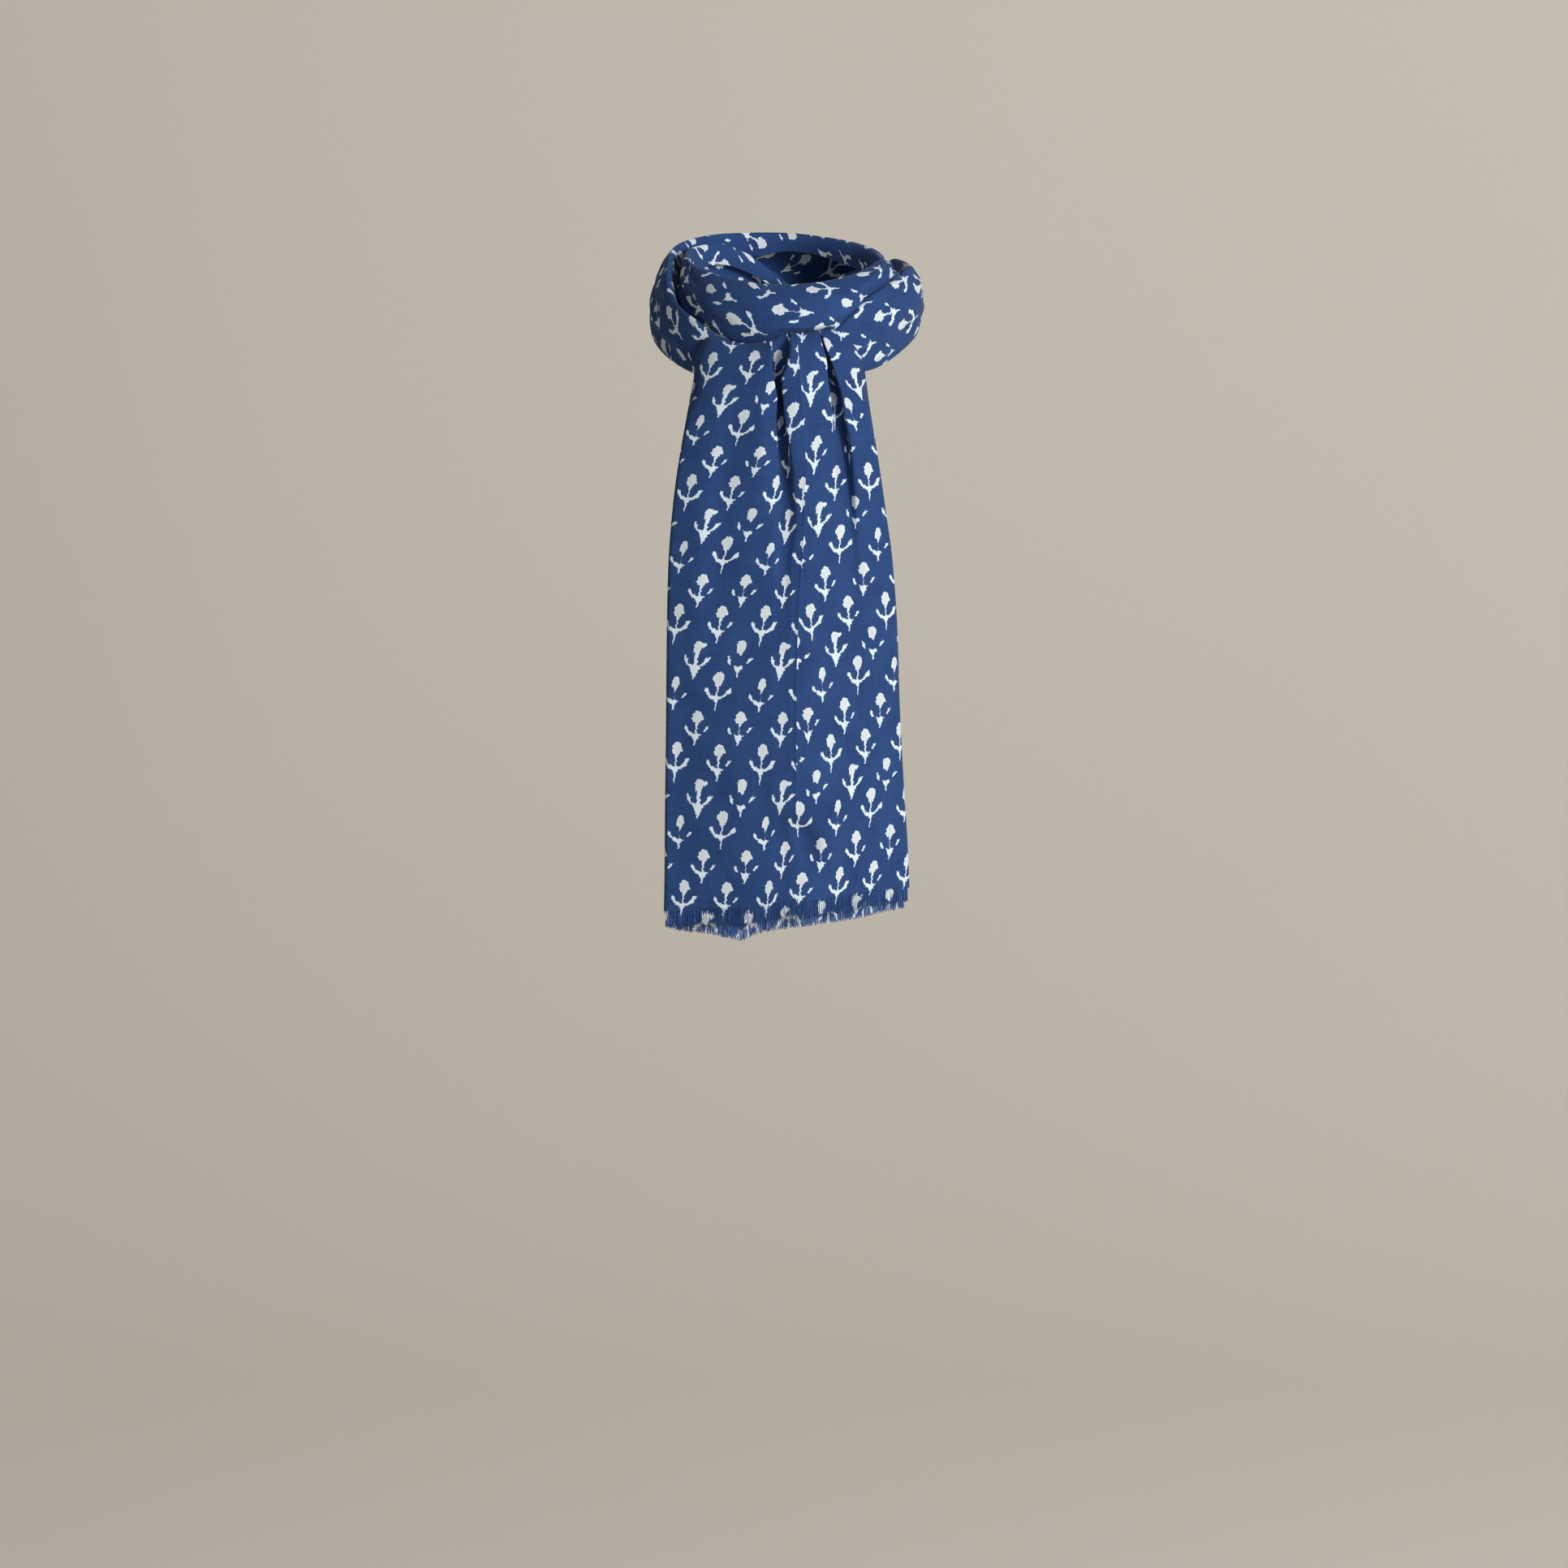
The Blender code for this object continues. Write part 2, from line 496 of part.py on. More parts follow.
def front_tail_grid(steps):
    """Grid of the front tail from its hidden inner end, over the crest, to the hem."""
    grid = []
    for share in path_shares(FRONT_TAIL, steps):
        size = level(FRONT_TAIL, TailRow._fields, share)
        half = 0.5 * (size["right"] - size["left"])
        middle = 0.5 * (size["right"] + size["left"])
        line = []
        for x, back in across_front(size):
            lift = size["follow"] * from_list(CREST_LINE, x)
            lift += hem_share(size["height"]) * from_list(FRONT_HEM, x)
            bow = size["bow"] * abs((x - middle) / half) ** BOW_POWER
            bow += swung_back(x, size["tuck"], size["swing"])
            line.append((x, -size["ahead"] + bow + back, size["height"] + lift))
        grid.append(line)
    return grid


def back_tail_grid(steps, columns):
    """Grid of the back tail from its hidden top inside the turns to the hem."""
    grid = []
    for share in path_shares(BACK_TAIL, steps):
        size = level(BACK_TAIL, BackRow._fields, share)
        half = 0.5 * (size["right"] - size["left"])
        middle = 0.5 * (size["right"] + size["left"])
        turn = turned_edge(size["edge_turn"], steps=3)
        reach = max(out for out, _ in turn)
        left_start, right_start = size["left"] + reach, size["right"] - reach
        across = [(left_start - out, back) for out, back in reversed(turn)]
        across += spread(left_start, right_start, columns)
        across += [(right_start + out, back) for out, back in turn]
        line = []
        for x, back in across:
            lift = hem_share(size["height"]) * from_list(BACK_HEM, x)
            bow = size["bow"] * abs((x - middle) / half) ** BOW_POWER
            bow += swung_back(x, BACK_SWING_LINE, size["swing"])
            line.append((x, -size["ahead"] + bow + back, size["height"] + lift))
        grid.append(line)
    return grid


FRINGE_STRIP = 2.2
FRINGE_THICK = 1.6
STRAND_COUNT = 118
STRAND_LENGTH = 7.6
STRAND_UNEVEN = 0.28    # spread of the strands' lengths, as a share
STRAND_SWAY = (0.5, 0.8)    # spread of the tips across and from front to back


def hem_line(grid, first, last, count):
    """Points along a tail's hem, between two of its columns, evenly spaced."""
    line = np.array(grid[-1][first:last])
    length = np.concatenate([[0], np.cumsum(np.linalg.norm(np.diff(line, axis=0), axis=1))])
    at = np.linspace(0, length[-1], count)
    return np.stack([np.interp(at, length, line[:, k]) for k in range(3)], axis=1)


def fringe(name, grid, first, last, seed):
    """Narrow strip under a hem with tapering strands, parted from the cloth's edge."""
    rng = np.random.default_rng(seed)
    line = hem_line(grid, first, last, 2 * STRAND_COUNT + 1)
    shape = bmesh.new()
    rails = []
    for x, y, z in line:
        top = z - SEAM_GAP
        rails.append([
            shape.verts.new([c * MM for c in (x, y - FRINGE_THICK / 2, top)]),
            shape.verts.new([c * MM for c in (x, y + FRINGE_THICK / 2, top)]),
            shape.verts.new([c * MM for c in (x, y + FRINGE_THICK / 2, top - FRINGE_STRIP)]),
            shape.verts.new([c * MM for c in (x, y - FRINGE_THICK / 2, top - FRINGE_STRIP)]),
        ])
    for i, (a, b) in enumerate(zip(rails, rails[1:])):
        for k in (0, 1, 3):
            shape.faces.new((a[k], b[k], b[(k + 1) % 4], a[(k + 1) % 4]))
        root = [a[2], b[2], b[3], a[3]]
        if i % 2 == 0:
            middle = sum((v.co for v in root), start=root[0].co * 0) / 4
            tip = middle.copy()
            tip.z -= STRAND_LENGTH * MM * (1.0 + STRAND_UNEVEN * (rng.random() - 0.5))
            tip.x += STRAND_SWAY[0] * MM * (rng.random() - 0.5)
            tip.y += STRAND_SWAY[1] * MM * (rng.random() - 0.5)
            end = shape.verts.new(tip)
            for p, q in zip(root, root[1:] + root[:1]):
                shape.faces.new((p, q, end))
        else:
            shape.faces.new(root)
    shape.faces.new(rails[0])
    shape.faces.new(rails[-1])
    bmesh.ops.recalc_face_normals(shape, faces=shape.faces[:])
    mesh = bpy.data.meshes.new(name)
    shape.to_mesh(mesh)
    shape.free()
    return add_object(name, mesh)


def clear_scene():
    """Start from an empty scene."""
    for thing in list(bpy.data.objects):
        bpy.data.objects.remove(thing, do_unlink=True)


# Fineness of the grids: degrees between a turn's sections, points along a section,
# levels between two rows of a tail's table, and points across the back tail's face
NECK_STEP, NECK_POINTS = 7.0, 13
SIDE_STEP, SIDE_POINTS = 7.5, 15
PLEATED_LEVELS, PLAIN_LEVELS = 1, 2
PLEATED_ROWS = 9
BACK_FACE_POINTS = 11
# Points of a turned edge that carry no fringe, because it ends where the edge curls
FRONT_EDGE_POINTS = 4
BACK_EDGE_POINTS = 3


def build():
    """Make every stretch of the scarf."""
    clear_scene()
    cloth_wall("neck_turn", turn_grid(NECK_TURN, NECK_CREASES, NECK_STEP, NECK_POINTS))
    cloth_wall("left_turn", turn_grid(LEFT_TURN, LEFT_CREASES, SIDE_STEP, SIDE_POINTS))
    cloth_wall("right_turn", turn_grid(RIGHT_TURN, RIGHT_CREASES, SIDE_STEP, SIDE_POINTS))
    plain_rows = len(FRONT_TAIL) - 1 - PLEATED_ROWS
    front = front_tail_grid([PLEATED_LEVELS] * PLEATED_ROWS + [PLAIN_LEVELS] * plain_rows)
    cloth_wall("front_tail", front)
    back = back_tail_grid([PLEATED_LEVELS] * (len(BACK_TAIL) - 1), BACK_FACE_POINTS)
    cloth_wall("back_tail", back)
    fringe("front_fringe", front, FRONT_EDGE_POINTS, len(front[0]) - FRONT_EDGE_POINTS, seed=11)
    fringe("back_fringe", back, BACK_EDGE_POINTS, len(back[0]) - BACK_EDGE_POINTS, seed=12)


build()
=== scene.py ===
"""Looks of a printed scarf of light cotton, wound twice round a neck with both tails in front.

The tables are in millimetres and degrees, the meshes in metres, +Z up, front towards -Y.
The origin is the centre of the neck opening. Angles run round the neck: 0 is the front,
+90 the side at +X and -90 the side at -X.
"""

from __future__ import annotations

import logging
import math
from dataclasses import dataclass, field
from enum import Enum
from typing import NamedTuple, Sequence
import bmesh
import bpy
import numpy as np
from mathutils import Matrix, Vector


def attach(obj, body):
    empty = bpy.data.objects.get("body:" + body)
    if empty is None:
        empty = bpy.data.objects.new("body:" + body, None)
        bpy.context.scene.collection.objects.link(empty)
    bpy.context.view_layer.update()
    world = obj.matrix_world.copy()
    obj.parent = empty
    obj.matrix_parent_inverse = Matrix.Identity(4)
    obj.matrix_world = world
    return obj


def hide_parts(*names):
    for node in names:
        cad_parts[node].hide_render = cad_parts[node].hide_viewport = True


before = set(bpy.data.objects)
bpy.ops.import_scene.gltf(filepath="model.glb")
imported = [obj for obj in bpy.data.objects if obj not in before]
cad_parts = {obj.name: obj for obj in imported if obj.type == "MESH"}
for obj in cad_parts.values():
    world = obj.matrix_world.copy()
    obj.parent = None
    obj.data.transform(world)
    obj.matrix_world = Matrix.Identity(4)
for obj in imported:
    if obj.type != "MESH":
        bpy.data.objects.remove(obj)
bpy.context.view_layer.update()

MM = 0.001
BODY = "root"
log = logging.getLogger("scarf")

# Driving sizes, as in the frame
NECK_HALF_WIDTH = 60.0
NECK_HALF_DEPTH = 62.5
CLOTH = 0.7             # thickness of the visible cloth, a doubled light cotton

# The print's repeat, measured on the hanging tail: sprigs in half-dropped columns
COLUMN_PITCH = 29.0
ROW_PITCH = 22.8


def linear(code: str) -> tuple[float, float, float, float]:
    """Turn an sRGB hex colour to linear values.

    Args:
        code: six hex digits, with or without a leading mark.

    Returns:
        Red, green, blue and alpha.
    """
    parts = [int(code.lstrip("#")[k:k + 2], 16) / 255 for k in (0, 2, 4)]
    red, green, blue = [c / 12.92 if c <= 0.04045 else ((c + 0.055) / 1.055) ** 2.4 for c in parts]
    return (red, green, blue, 1.0)


def add_node(tree: bpy.types.NodeTree, kind: str, inputs: dict | None = None,
             **settings: object) -> bpy.types.Node:
    """Add a node with its settings, values and links.

    Args:
        tree: the tree that takes the node.
        kind: the node's type.
        inputs: value, or socket to link from, for each input by name or number.
        **settings: properties set on the node.

    Returns:
        The new node.
    """
    node = tree.nodes.new(kind)
    for name, value in settings.items():
        setattr(node, name, value)
    for key, value in (inputs or {}).items():
        if isinstance(value, bpy.types.NodeSocket):
            tree.links.new(value, node.inputs[key])
        else:
            node.inputs[key].default_value = value
    return node


class Number:
    """A number in a node tree: a sum made with it adds a Math node."""

    def __init__(self, socket: bpy.types.NodeSocket) -> None:
        """Take the socket that gives the number."""
        self.socket = socket

    def math(self, operation: str, *others: Number | float) -> Number:
        """Add a Math node on this number and the others.

        Args:
            operation: what the node works out.
            *others: its further inputs.

        Returns:
            The node's result.
        """
        values = [v.socket if isinstance(v, Number) else v for v in (self, *others)]
        made = add_node(self.socket.id_data, "ShaderNodeMath", dict(enumerate(values)),
                        operation=operation)
        return Number(made.outputs[0])

    def __add__(self, other: Number | float) -> Number:
        """This number and another."""
        return self.math("ADD", other)

    def __sub__(self, other: Number | float) -> Number:
        """This number less another."""
        return self.math("SUBTRACT", other)

    def __mul__(self, other: Number | float) -> Number:
        """This number times another."""
        return self.math("MULTIPLY", other)

    def __truediv__(self, other: Number | float) -> Number:
        """This number over another."""
        return self.math("DIVIDE", other)

    def __pow__(self, other: Number | float) -> Number:
        """This number to a power."""
        return self.math("POWER", other)

    def __abs__(self) -> Number:
        """This number without its sign."""
        return self.math("ABSOLUTE")

    def by(self, times: Number | float, plus: Number | float) -> Number:
        """This number times one value plus another."""
        return self.math("MULTIPLY_ADD", times, plus)


def nearest(first: Number, *others: Number) -> Number:
    """The least of some distances: the union of their shapes.

    Args:
        first: a distance.
        *others: the other distances.

    Returns:
        The least of them.
    """
    for other in others:
        first = first.math("MINIMUM", other)
    return first


def within(first: Number, *others: Number | float) -> Number:
    """The most of some distances: what their shapes share.

    Args:
        first: a distance.
        *others: the other distances.

    Returns:
        The most of them.
    """
    for other in others:
        first = first.math("MAXIMUM", other)
    return first


class Sprig(Enum):
    """Cuts of the sprig block: bud half-width, half-height, roundness; neck, base, side bud;
    left leaf apart, right leaf apart, leaf size; lift, half the base's length, and stem."""

    ROUND = (3.3, 5.1, 1.7, 0.42, 3.2, 0.0, 0.0, 0.0, 1.00, 0.2, 2.6, 4.2)
    LOBED = (3.6, 4.6, 1.7, 0.60, 3.9, 0.0, 0.0, 1.0, 0.98, 0.0, 2.7, 2.9)
    CROWNED = (3.1, 3.4, 2.0, 1.10, 4.4, 1.0, 0.0, 0.0, 1.00, 1.0, 4.3, 0.6)
    HEXAGON = (3.4, 4.6, 1.5, -1.0, 3.6, 0.0, 1.0, 1.0, 1.00, 1.2, 2.6, 1.9)
    DIAMOND = (2.8, 5.3, 1.1, -0.1, 3.4, 0.0, 0.0, 1.0, 0.92, 0.0, 2.3, 2.4)
    LARGE = (3.4, 5.2, 1.7, 0.42, 3.3, 0.0, 0.0, 0.0, 1.02, 3.6, 2.7, 4.3)
    POINTED = (3.6, 4.7, 1.6, 0.10, 3.5, 0.0, 1.0, 1.0, 0.98, 0.0, 3.2, 1.2)


# How far the block's edge is chipped, in all, and the bud's height over its block's middle
CHIP = 3.6
BUD_RISE = 8.0

# Range that a cut's numbers are packed into on their way through a colour ramp
CUT_LOW, CUT_RANGE = -1.0, 7.0

# Two half-dropped lattices of blocks: the four that repeat on each
UPRIGHT_BLOCKS = (Sprig.LOBED, Sprig.POINTED, Sprig.CROWNED, Sprig.HEXAGON)
DROPPED_BLOCKS = (Sprig.ROUND, Sprig.LOBED, Sprig.DIAMOND, Sprig.LARGE)

# What the numbers of a cut are, in their order
CUT_NAMES = ("wide", "tall", "round", "neck", "base", "lobe", "left", "right", "leaf", "lift",
             "length", "stem")


def draw_sprig(x: Number, y: Number, cut: dict[str, Number]) -> tuple[Number, Number]:
    """Draw a sprig in millimetres from the middle of its block, x to the right and y up.

    Args:
        x: place across.
        y: place up.
        cut: the cut's numbers by name.

    Returns:
        Distance from the whole sprig and from its bud, below nought inside them.
    """
    y = y - cut["lift"]
    x = y.by(-0.13, x)
    away, on_right = abs(x), x.math("GREATER_THAN", 0.0)
    apart = (cut["right"] - cut["left"]).by(on_right, cut["left"])
    rounded, size = cut["round"], cut["leaf"]

    # The bud widens upwards
    bud_y = y - BUD_RISE
    bud_a, bud_b = away / (cut["wide"] * bud_y.by(0.075, 1.0)), abs(bud_y / cut["tall"])
    bud = ((bud_a ** rounded + bud_b ** rounded) ** (rounded ** -1.0)).by(3.4, -3.4)
    # The side bud is pushed away to nothing in the cuts that have none
    side_x, side_y = x.by(0.5, -1.55), y.by(0.62, -5.9)
    side = side_y.by(side_y, side_x * side_x).math("SQRT").by(1.8, 8.2)
    side = cut["lobe"].by(-10.0, side)

    # The neck is thinnest halfway; the base narrows to a point under it, on a thin stem
    neck_up = abs(y - 0.6)
    neck = within(neck_up.by(-0.10, away) - cut["neck"], neck_up - 5.2)
    base_down, base_top, base_tall = y.by(-1.0, -3.3), y + 3.2, cut["length"] * 2.0
    base_left = within((base_down / base_tall).by(-1.0, 1.0), 0.0)
    base = within(away - (base_left ** 0.85).by(cut["base"], -0.2), base_top)
    stem = within(base_down.by(0.05, away) - 0.85, base_down - (base_tall + cut["stem"]), base_top)

    # A slant cuts off the left leaf's foot, 3 mm further out where the leaf stands apart
    foot = apart.by(-3.0, y.by(-0.61, x.by(-0.80, -6.2)))
    # Each leaf is a leaning lozenge, and a bent arm joins it to the neck unless it stands apart
    leaf_x, leaf_y = away - 6.6, apart.by(-0.7, y + 0.6)
    cosine, sine = on_right.by(0.26, 0.31), on_right.by(-0.13, 0.95)
    along, off = leaf_y.by(sine, leaf_x * cosine), leaf_y * cosine - leaf_x * sine
    leaf_size = apart.by(-0.30, size)
    leaf_wide = leaf_size * on_right.by(-0.25, 1.50) * along.by(on_right.by(0.16, -0.05), 1.0)
    leaf = abs(along / (leaf_size * 3.7)) ** 1.6 + abs(off / leaf_wide) ** 1.6 - 1.0
    arm_side = apart.by(2.5, away.by(0.10, on_right.by(0.30, -1.30)))
    arm = within(abs(y - (x * x).by(0.085, -4.6)).by(0.75, arm_side), away - 6.0)
    return nearest(bud, side, neck, base, stem, within(nearest(arm, leaf), foot)), bud


def fill_ramp(node: bpy.types.Node, stops: Sequence[tuple[float, Sequence[float]]],
              interpolation: str) -> None:
    """Give a colour ramp its stops.

    Args:
        node: the ramp's node.
        stops: position and colour of each stop.
        interpolation: the ramp's way between stops.
    """
    ramp = node.color_ramp
    ramp.interpolation = interpolation
    while len(ramp.elements) < len(stops):
        ramp.elements.new(1.0)
    for element, (position, colour) in zip(ramp.elements, stops):
        element.position = position
        element.color = (*colour[:3], 1.0)


@dataclass(frozen=True)
class SprigBlock:
    """The printing block of one lattice: a group that draws its four sprigs in turn."""

    name: str
    blocks: tuple[Sprig, ...]
    shift: tuple[float, float]

    def tree(self) -> bpy.types.NodeTree:
        """Build the group, which turns places on the cloth into distance from the print.

        Returns:
            The group, with inputs Across and Up in millimetres and outputs Distance and Bud.
        """
        tree = bpy.data.node_groups.new(self.name, "ShaderNodeTree")
        for way, names in (("INPUT", ("Across", "Up")), ("OUTPUT", ("Distance", "Bud"))):
            for name in names:
                tree.interface.new_socket(name, in_out=way, socket_type="NodeSocketFloat")
        entry = add_node(tree, "NodeGroupInput")
        plain, odd = [], []
        for k, pitch in enumerate((COLUMN_PITCH, 2 * ROW_PITCH)):
            cells = (Number(entry.outputs[k]) + self.shift[k]) / pitch
            cell = cells.math("FLOOR")
            plain.append((cells - cell).by(pitch, -pitch / 2))
            odd.append(cell.math("FLOORED_MODULO", 2.0))
        # Four blocks take turns; each turn is read at the middle of its stop in the ramps
        turn = odd[1].by(2.0, odd[0]).by(0.25, 0.125)
        # Ragged edge of the cut block, the same in every print of it
        place = add_node(tree, "ShaderNodeCombineXYZ", {
            "X": plain[0].socket, "Y": plain[1].socket, "Z": turn.socket})
        chips = add_node(tree, "ShaderNodeTexNoise",
                         {"Vector": place.outputs[0], "Scale": 0.5, "Detail": 2.5})
        chip = add_node(tree, "ShaderNodeSeparateXYZ", {0: chips.outputs["Color"]})
        x, y = (Number(chip.outputs[k]).by(CHIP, plain[k] - CHIP / 2) for k in (0, 1))
        cut = {}
        for first in range(0, len(CUT_NAMES), 3):
            ramp = add_node(tree, "ShaderNodeValToRGB", {0: turn.socket})
            fill_ramp(ramp, [(i / 4, [(v - CUT_LOW) / CUT_RANGE for v in block.value[first:first + 3]])
                             for i, block in enumerate(self.blocks)], "CONSTANT")
            parts = add_node(tree, "ShaderNodeSeparateColor", {0: ramp.outputs[0]})
            for name, socket in zip(CUT_NAMES[first:first + 3], parts.outputs):
                cut[name] = Number(socket).by(CUT_RANGE, CUT_LOW)
        near, bud = draw_sprig(x, y, cut)
        add_node(tree, "NodeGroupOutput", {"Distance": near.socket, "Bud": bud.socket})
        return tree


# Scales of the dye's noise: streaks along either weave and clouds over both, with the clouds'
# share beside a weave's
WARP_STREAKS, WEFT_STREAKS, CLOUDS = (1.1, 0.05, 1.0), (0.05, 1.1, 1.0), (0.035, 0.035, 1.0)
CLOUD_SHARE = 1.4
# How far ink creeps along the threads at most, how softly it ends at a sprig's edge, and how
# deep inside a bud its own tint begins and is full
CREEP, INK_EDGE, BUD_TINT = 0.9, 0.16, (0.2, 1.1)


@dataclass(frozen=True)
class PrintedCotton:
    """Light plain-woven cotton, dyed indigo and printed with off-white sprigs.

    The dye lies unevenly on the threads, so the ground is a little streaked along both
    weaves, and the cloth is matt with a faint bloom where it turns away.
    """

    name: str = "printed_cotton"
    ground: str = "#2C4B7C"
    ground_deep: str = "#203865"
    sprig: str = "#D2DFE8"
    bud: str = "#CDD3D6"
    roughness: float = 0.88
    # Threads lie 0.3 mm apart in such cotton; drawn 0.9 mm apart so that they show
    thread: float = 0.9
    # How strongly the dye's unevenness shows
    streak: float = 0.9

    def material(self) -> bpy.types.Material:
        """Build the material, which reads the print's place from the attribute "print".

        Returns:
            The material.
        """
        material = bpy.data.materials.new(self.name)
        material.use_nodes = True
        tree = material.node_tree
        shader = tree.nodes["Principled BSDF"]
        place = add_node(tree, "ShaderNodeAttribute", attribute_name="print")
        scaled = add_node(tree, "ShaderNodeVectorMath",
                          {0: place.outputs["Vector"], 1: (1 / MM, 1 / MM, 1 / MM)},
                          operation="MULTIPLY")
        # Ink that crept along the threads: a small wander of the print's edge
        creep = add_node(tree, "ShaderNodeTexNoise",
                         {"Vector": scaled.outputs[0], "Scale": 0.9, "Detail": 2.0})
        wander = add_node(tree, "ShaderNodeVectorMath",
                          {0: creep.outputs["Color"], 1: (CREEP, CREEP, 0.0), 2: scaled.outputs[0]},
                          operation="MULTIPLY_ADD")
        spot = add_node(tree, "ShaderNodeSeparateXYZ", {0: wander.outputs[0]})
        upright = SprigBlock("sprigs_upright", UPRIGHT_BLOCKS, (0.0, 0.0))
        dropped = SprigBlock("sprigs_dropped", DROPPED_BLOCKS, (COLUMN_PITCH / 2, ROW_PITCH))
        groups = [add_node(tree, "ShaderNodeGroup", {}, node_tree=lattice.tree())
                  for lattice in (upright, dropped)]
        for group in groups:
            tree.links.new(spot.outputs[0], group.inputs[0])
            tree.links.new(spot.outputs[1], group.inputs[1])
        distance, bud = (nearest(*(Number(group.outputs[k]) for group in groups)) for k in (0, 1))
        ink = add_node(tree, "ShaderNodeMapRange",
                       {"Value": distance.socket, "From Min": INK_EDGE, "From Max": -INK_EDGE})
        in_bud = add_node(tree, "ShaderNodeMapRange",
                          {"Value": bud.socket, "From Min": -BUD_TINT[0], "From Max": -BUD_TINT[1]})
        streaks = self.streaks(tree, scaled.outputs[0])
        ground = add_node(tree, "ShaderNodeMix",
                          {0: streaks, 6: linear(self.ground_deep), 7: linear(self.ground)},
                          data_type="RGBA")
        pale = add_node(tree, "ShaderNodeMix",
                        {0: in_bud.outputs[0], 6: linear(self.sprig), 7: linear(self.bud)},
                        data_type="RGBA")
        colour = add_node(tree, "ShaderNodeMix",
                          {0: ink.outputs[0], 6: ground.outputs[2], 7: pale.outputs[2]},
                          data_type="RGBA")
        tree.links.new(colour.outputs[2], shader.inputs["Base Color"])
        shader.inputs["Roughness"].default_value = self.roughness
        shader.inputs["Specular IOR Level"].default_value = 0.15
        shader.inputs["Sheen Weight"].default_value = 0.05
        shader.inputs["Sheen Roughness"].default_value = 0.5
        tree.links.new(self.weave(tree, scaled.outputs[0]), shader.inputs["Normal"])
        return material

    def streaks(self, tree: bpy.types.NodeTree, place: bpy.types.NodeSocket) -> bpy.types.NodeSocket:
        """Uneven dye along the threads of both weaves.

        Args:
            tree: the material's tree.
            place: the place on the cloth in millimetres.

        Returns:
            A share of the lighter ground.
        """
        ways = []
        for scale in (WARP_STREAKS, WEFT_STREAKS, CLOUDS):
            stretched = add_node(tree, "ShaderNodeMapping", {"Vector": place, "Scale": scale})
            noise = add_node(tree, "ShaderNodeTexNoise",
                             {"Vector": stretched.outputs[0], "Scale": 1.0, "Detail": 3.0})
            ways.append(Number(noise.outputs["Fac"]))
        along, across, cloud = ways
        total = cloud.by(CLOUD_SHARE, along + across)
        return total.by(self.streak, 0.5 - (1 + CLOUD_SHARE / 2) * self.streak).socket

    def weave(self, tree: bpy.types.NodeTree, place: bpy.types.NodeSocket) -> bpy.types.NodeSocket:
        """Plain weave as a fine bump, with a soft unevenness under it.

        Args:
            tree: the material's tree.
            place: the place on the cloth in millimetres.

        Returns:
            The normal.
        """
        spot = add_node(tree, "ShaderNodeSeparateXYZ", {0: place})
        warp, weft = ((Number(spot.outputs[k]) * (2 * math.pi / self.thread)).math("SINE")
                      for k in (0, 1))
        fine = add_node(tree, "ShaderNodeBump",
                        {"Height": (warp * weft).socket, "Strength": 0.12, "Distance": 0.00012})
        soft = add_node(tree, "ShaderNodeTexNoise",
                        {"Vector": place, "Scale": 0.12, "Detail": 3.0})
        bump = add_node(tree, "ShaderNodeBump",
                        {"Height": soft.outputs["Fac"], "Normal": fine.outputs[0],
                         "Strength": 0.35, "Distance": 0.0006})
        return bump.outputs[0]


def rows(kind: type, values: Sequence[tuple]) -> tuple:
    """Rows of a table, each with its columns named by a kind of row."""
    return tuple(kind(*value) for value in values)


class TurnSection(NamedTuple):
    """One section of a folded turn: distances from the neck's surface, and heights."""

    angle: float
    inner: float
    tuck: float
    crest: float
    top: float
    outer: float
    belly: float
    foot: float
    low: float
    heel: float
    rise: float


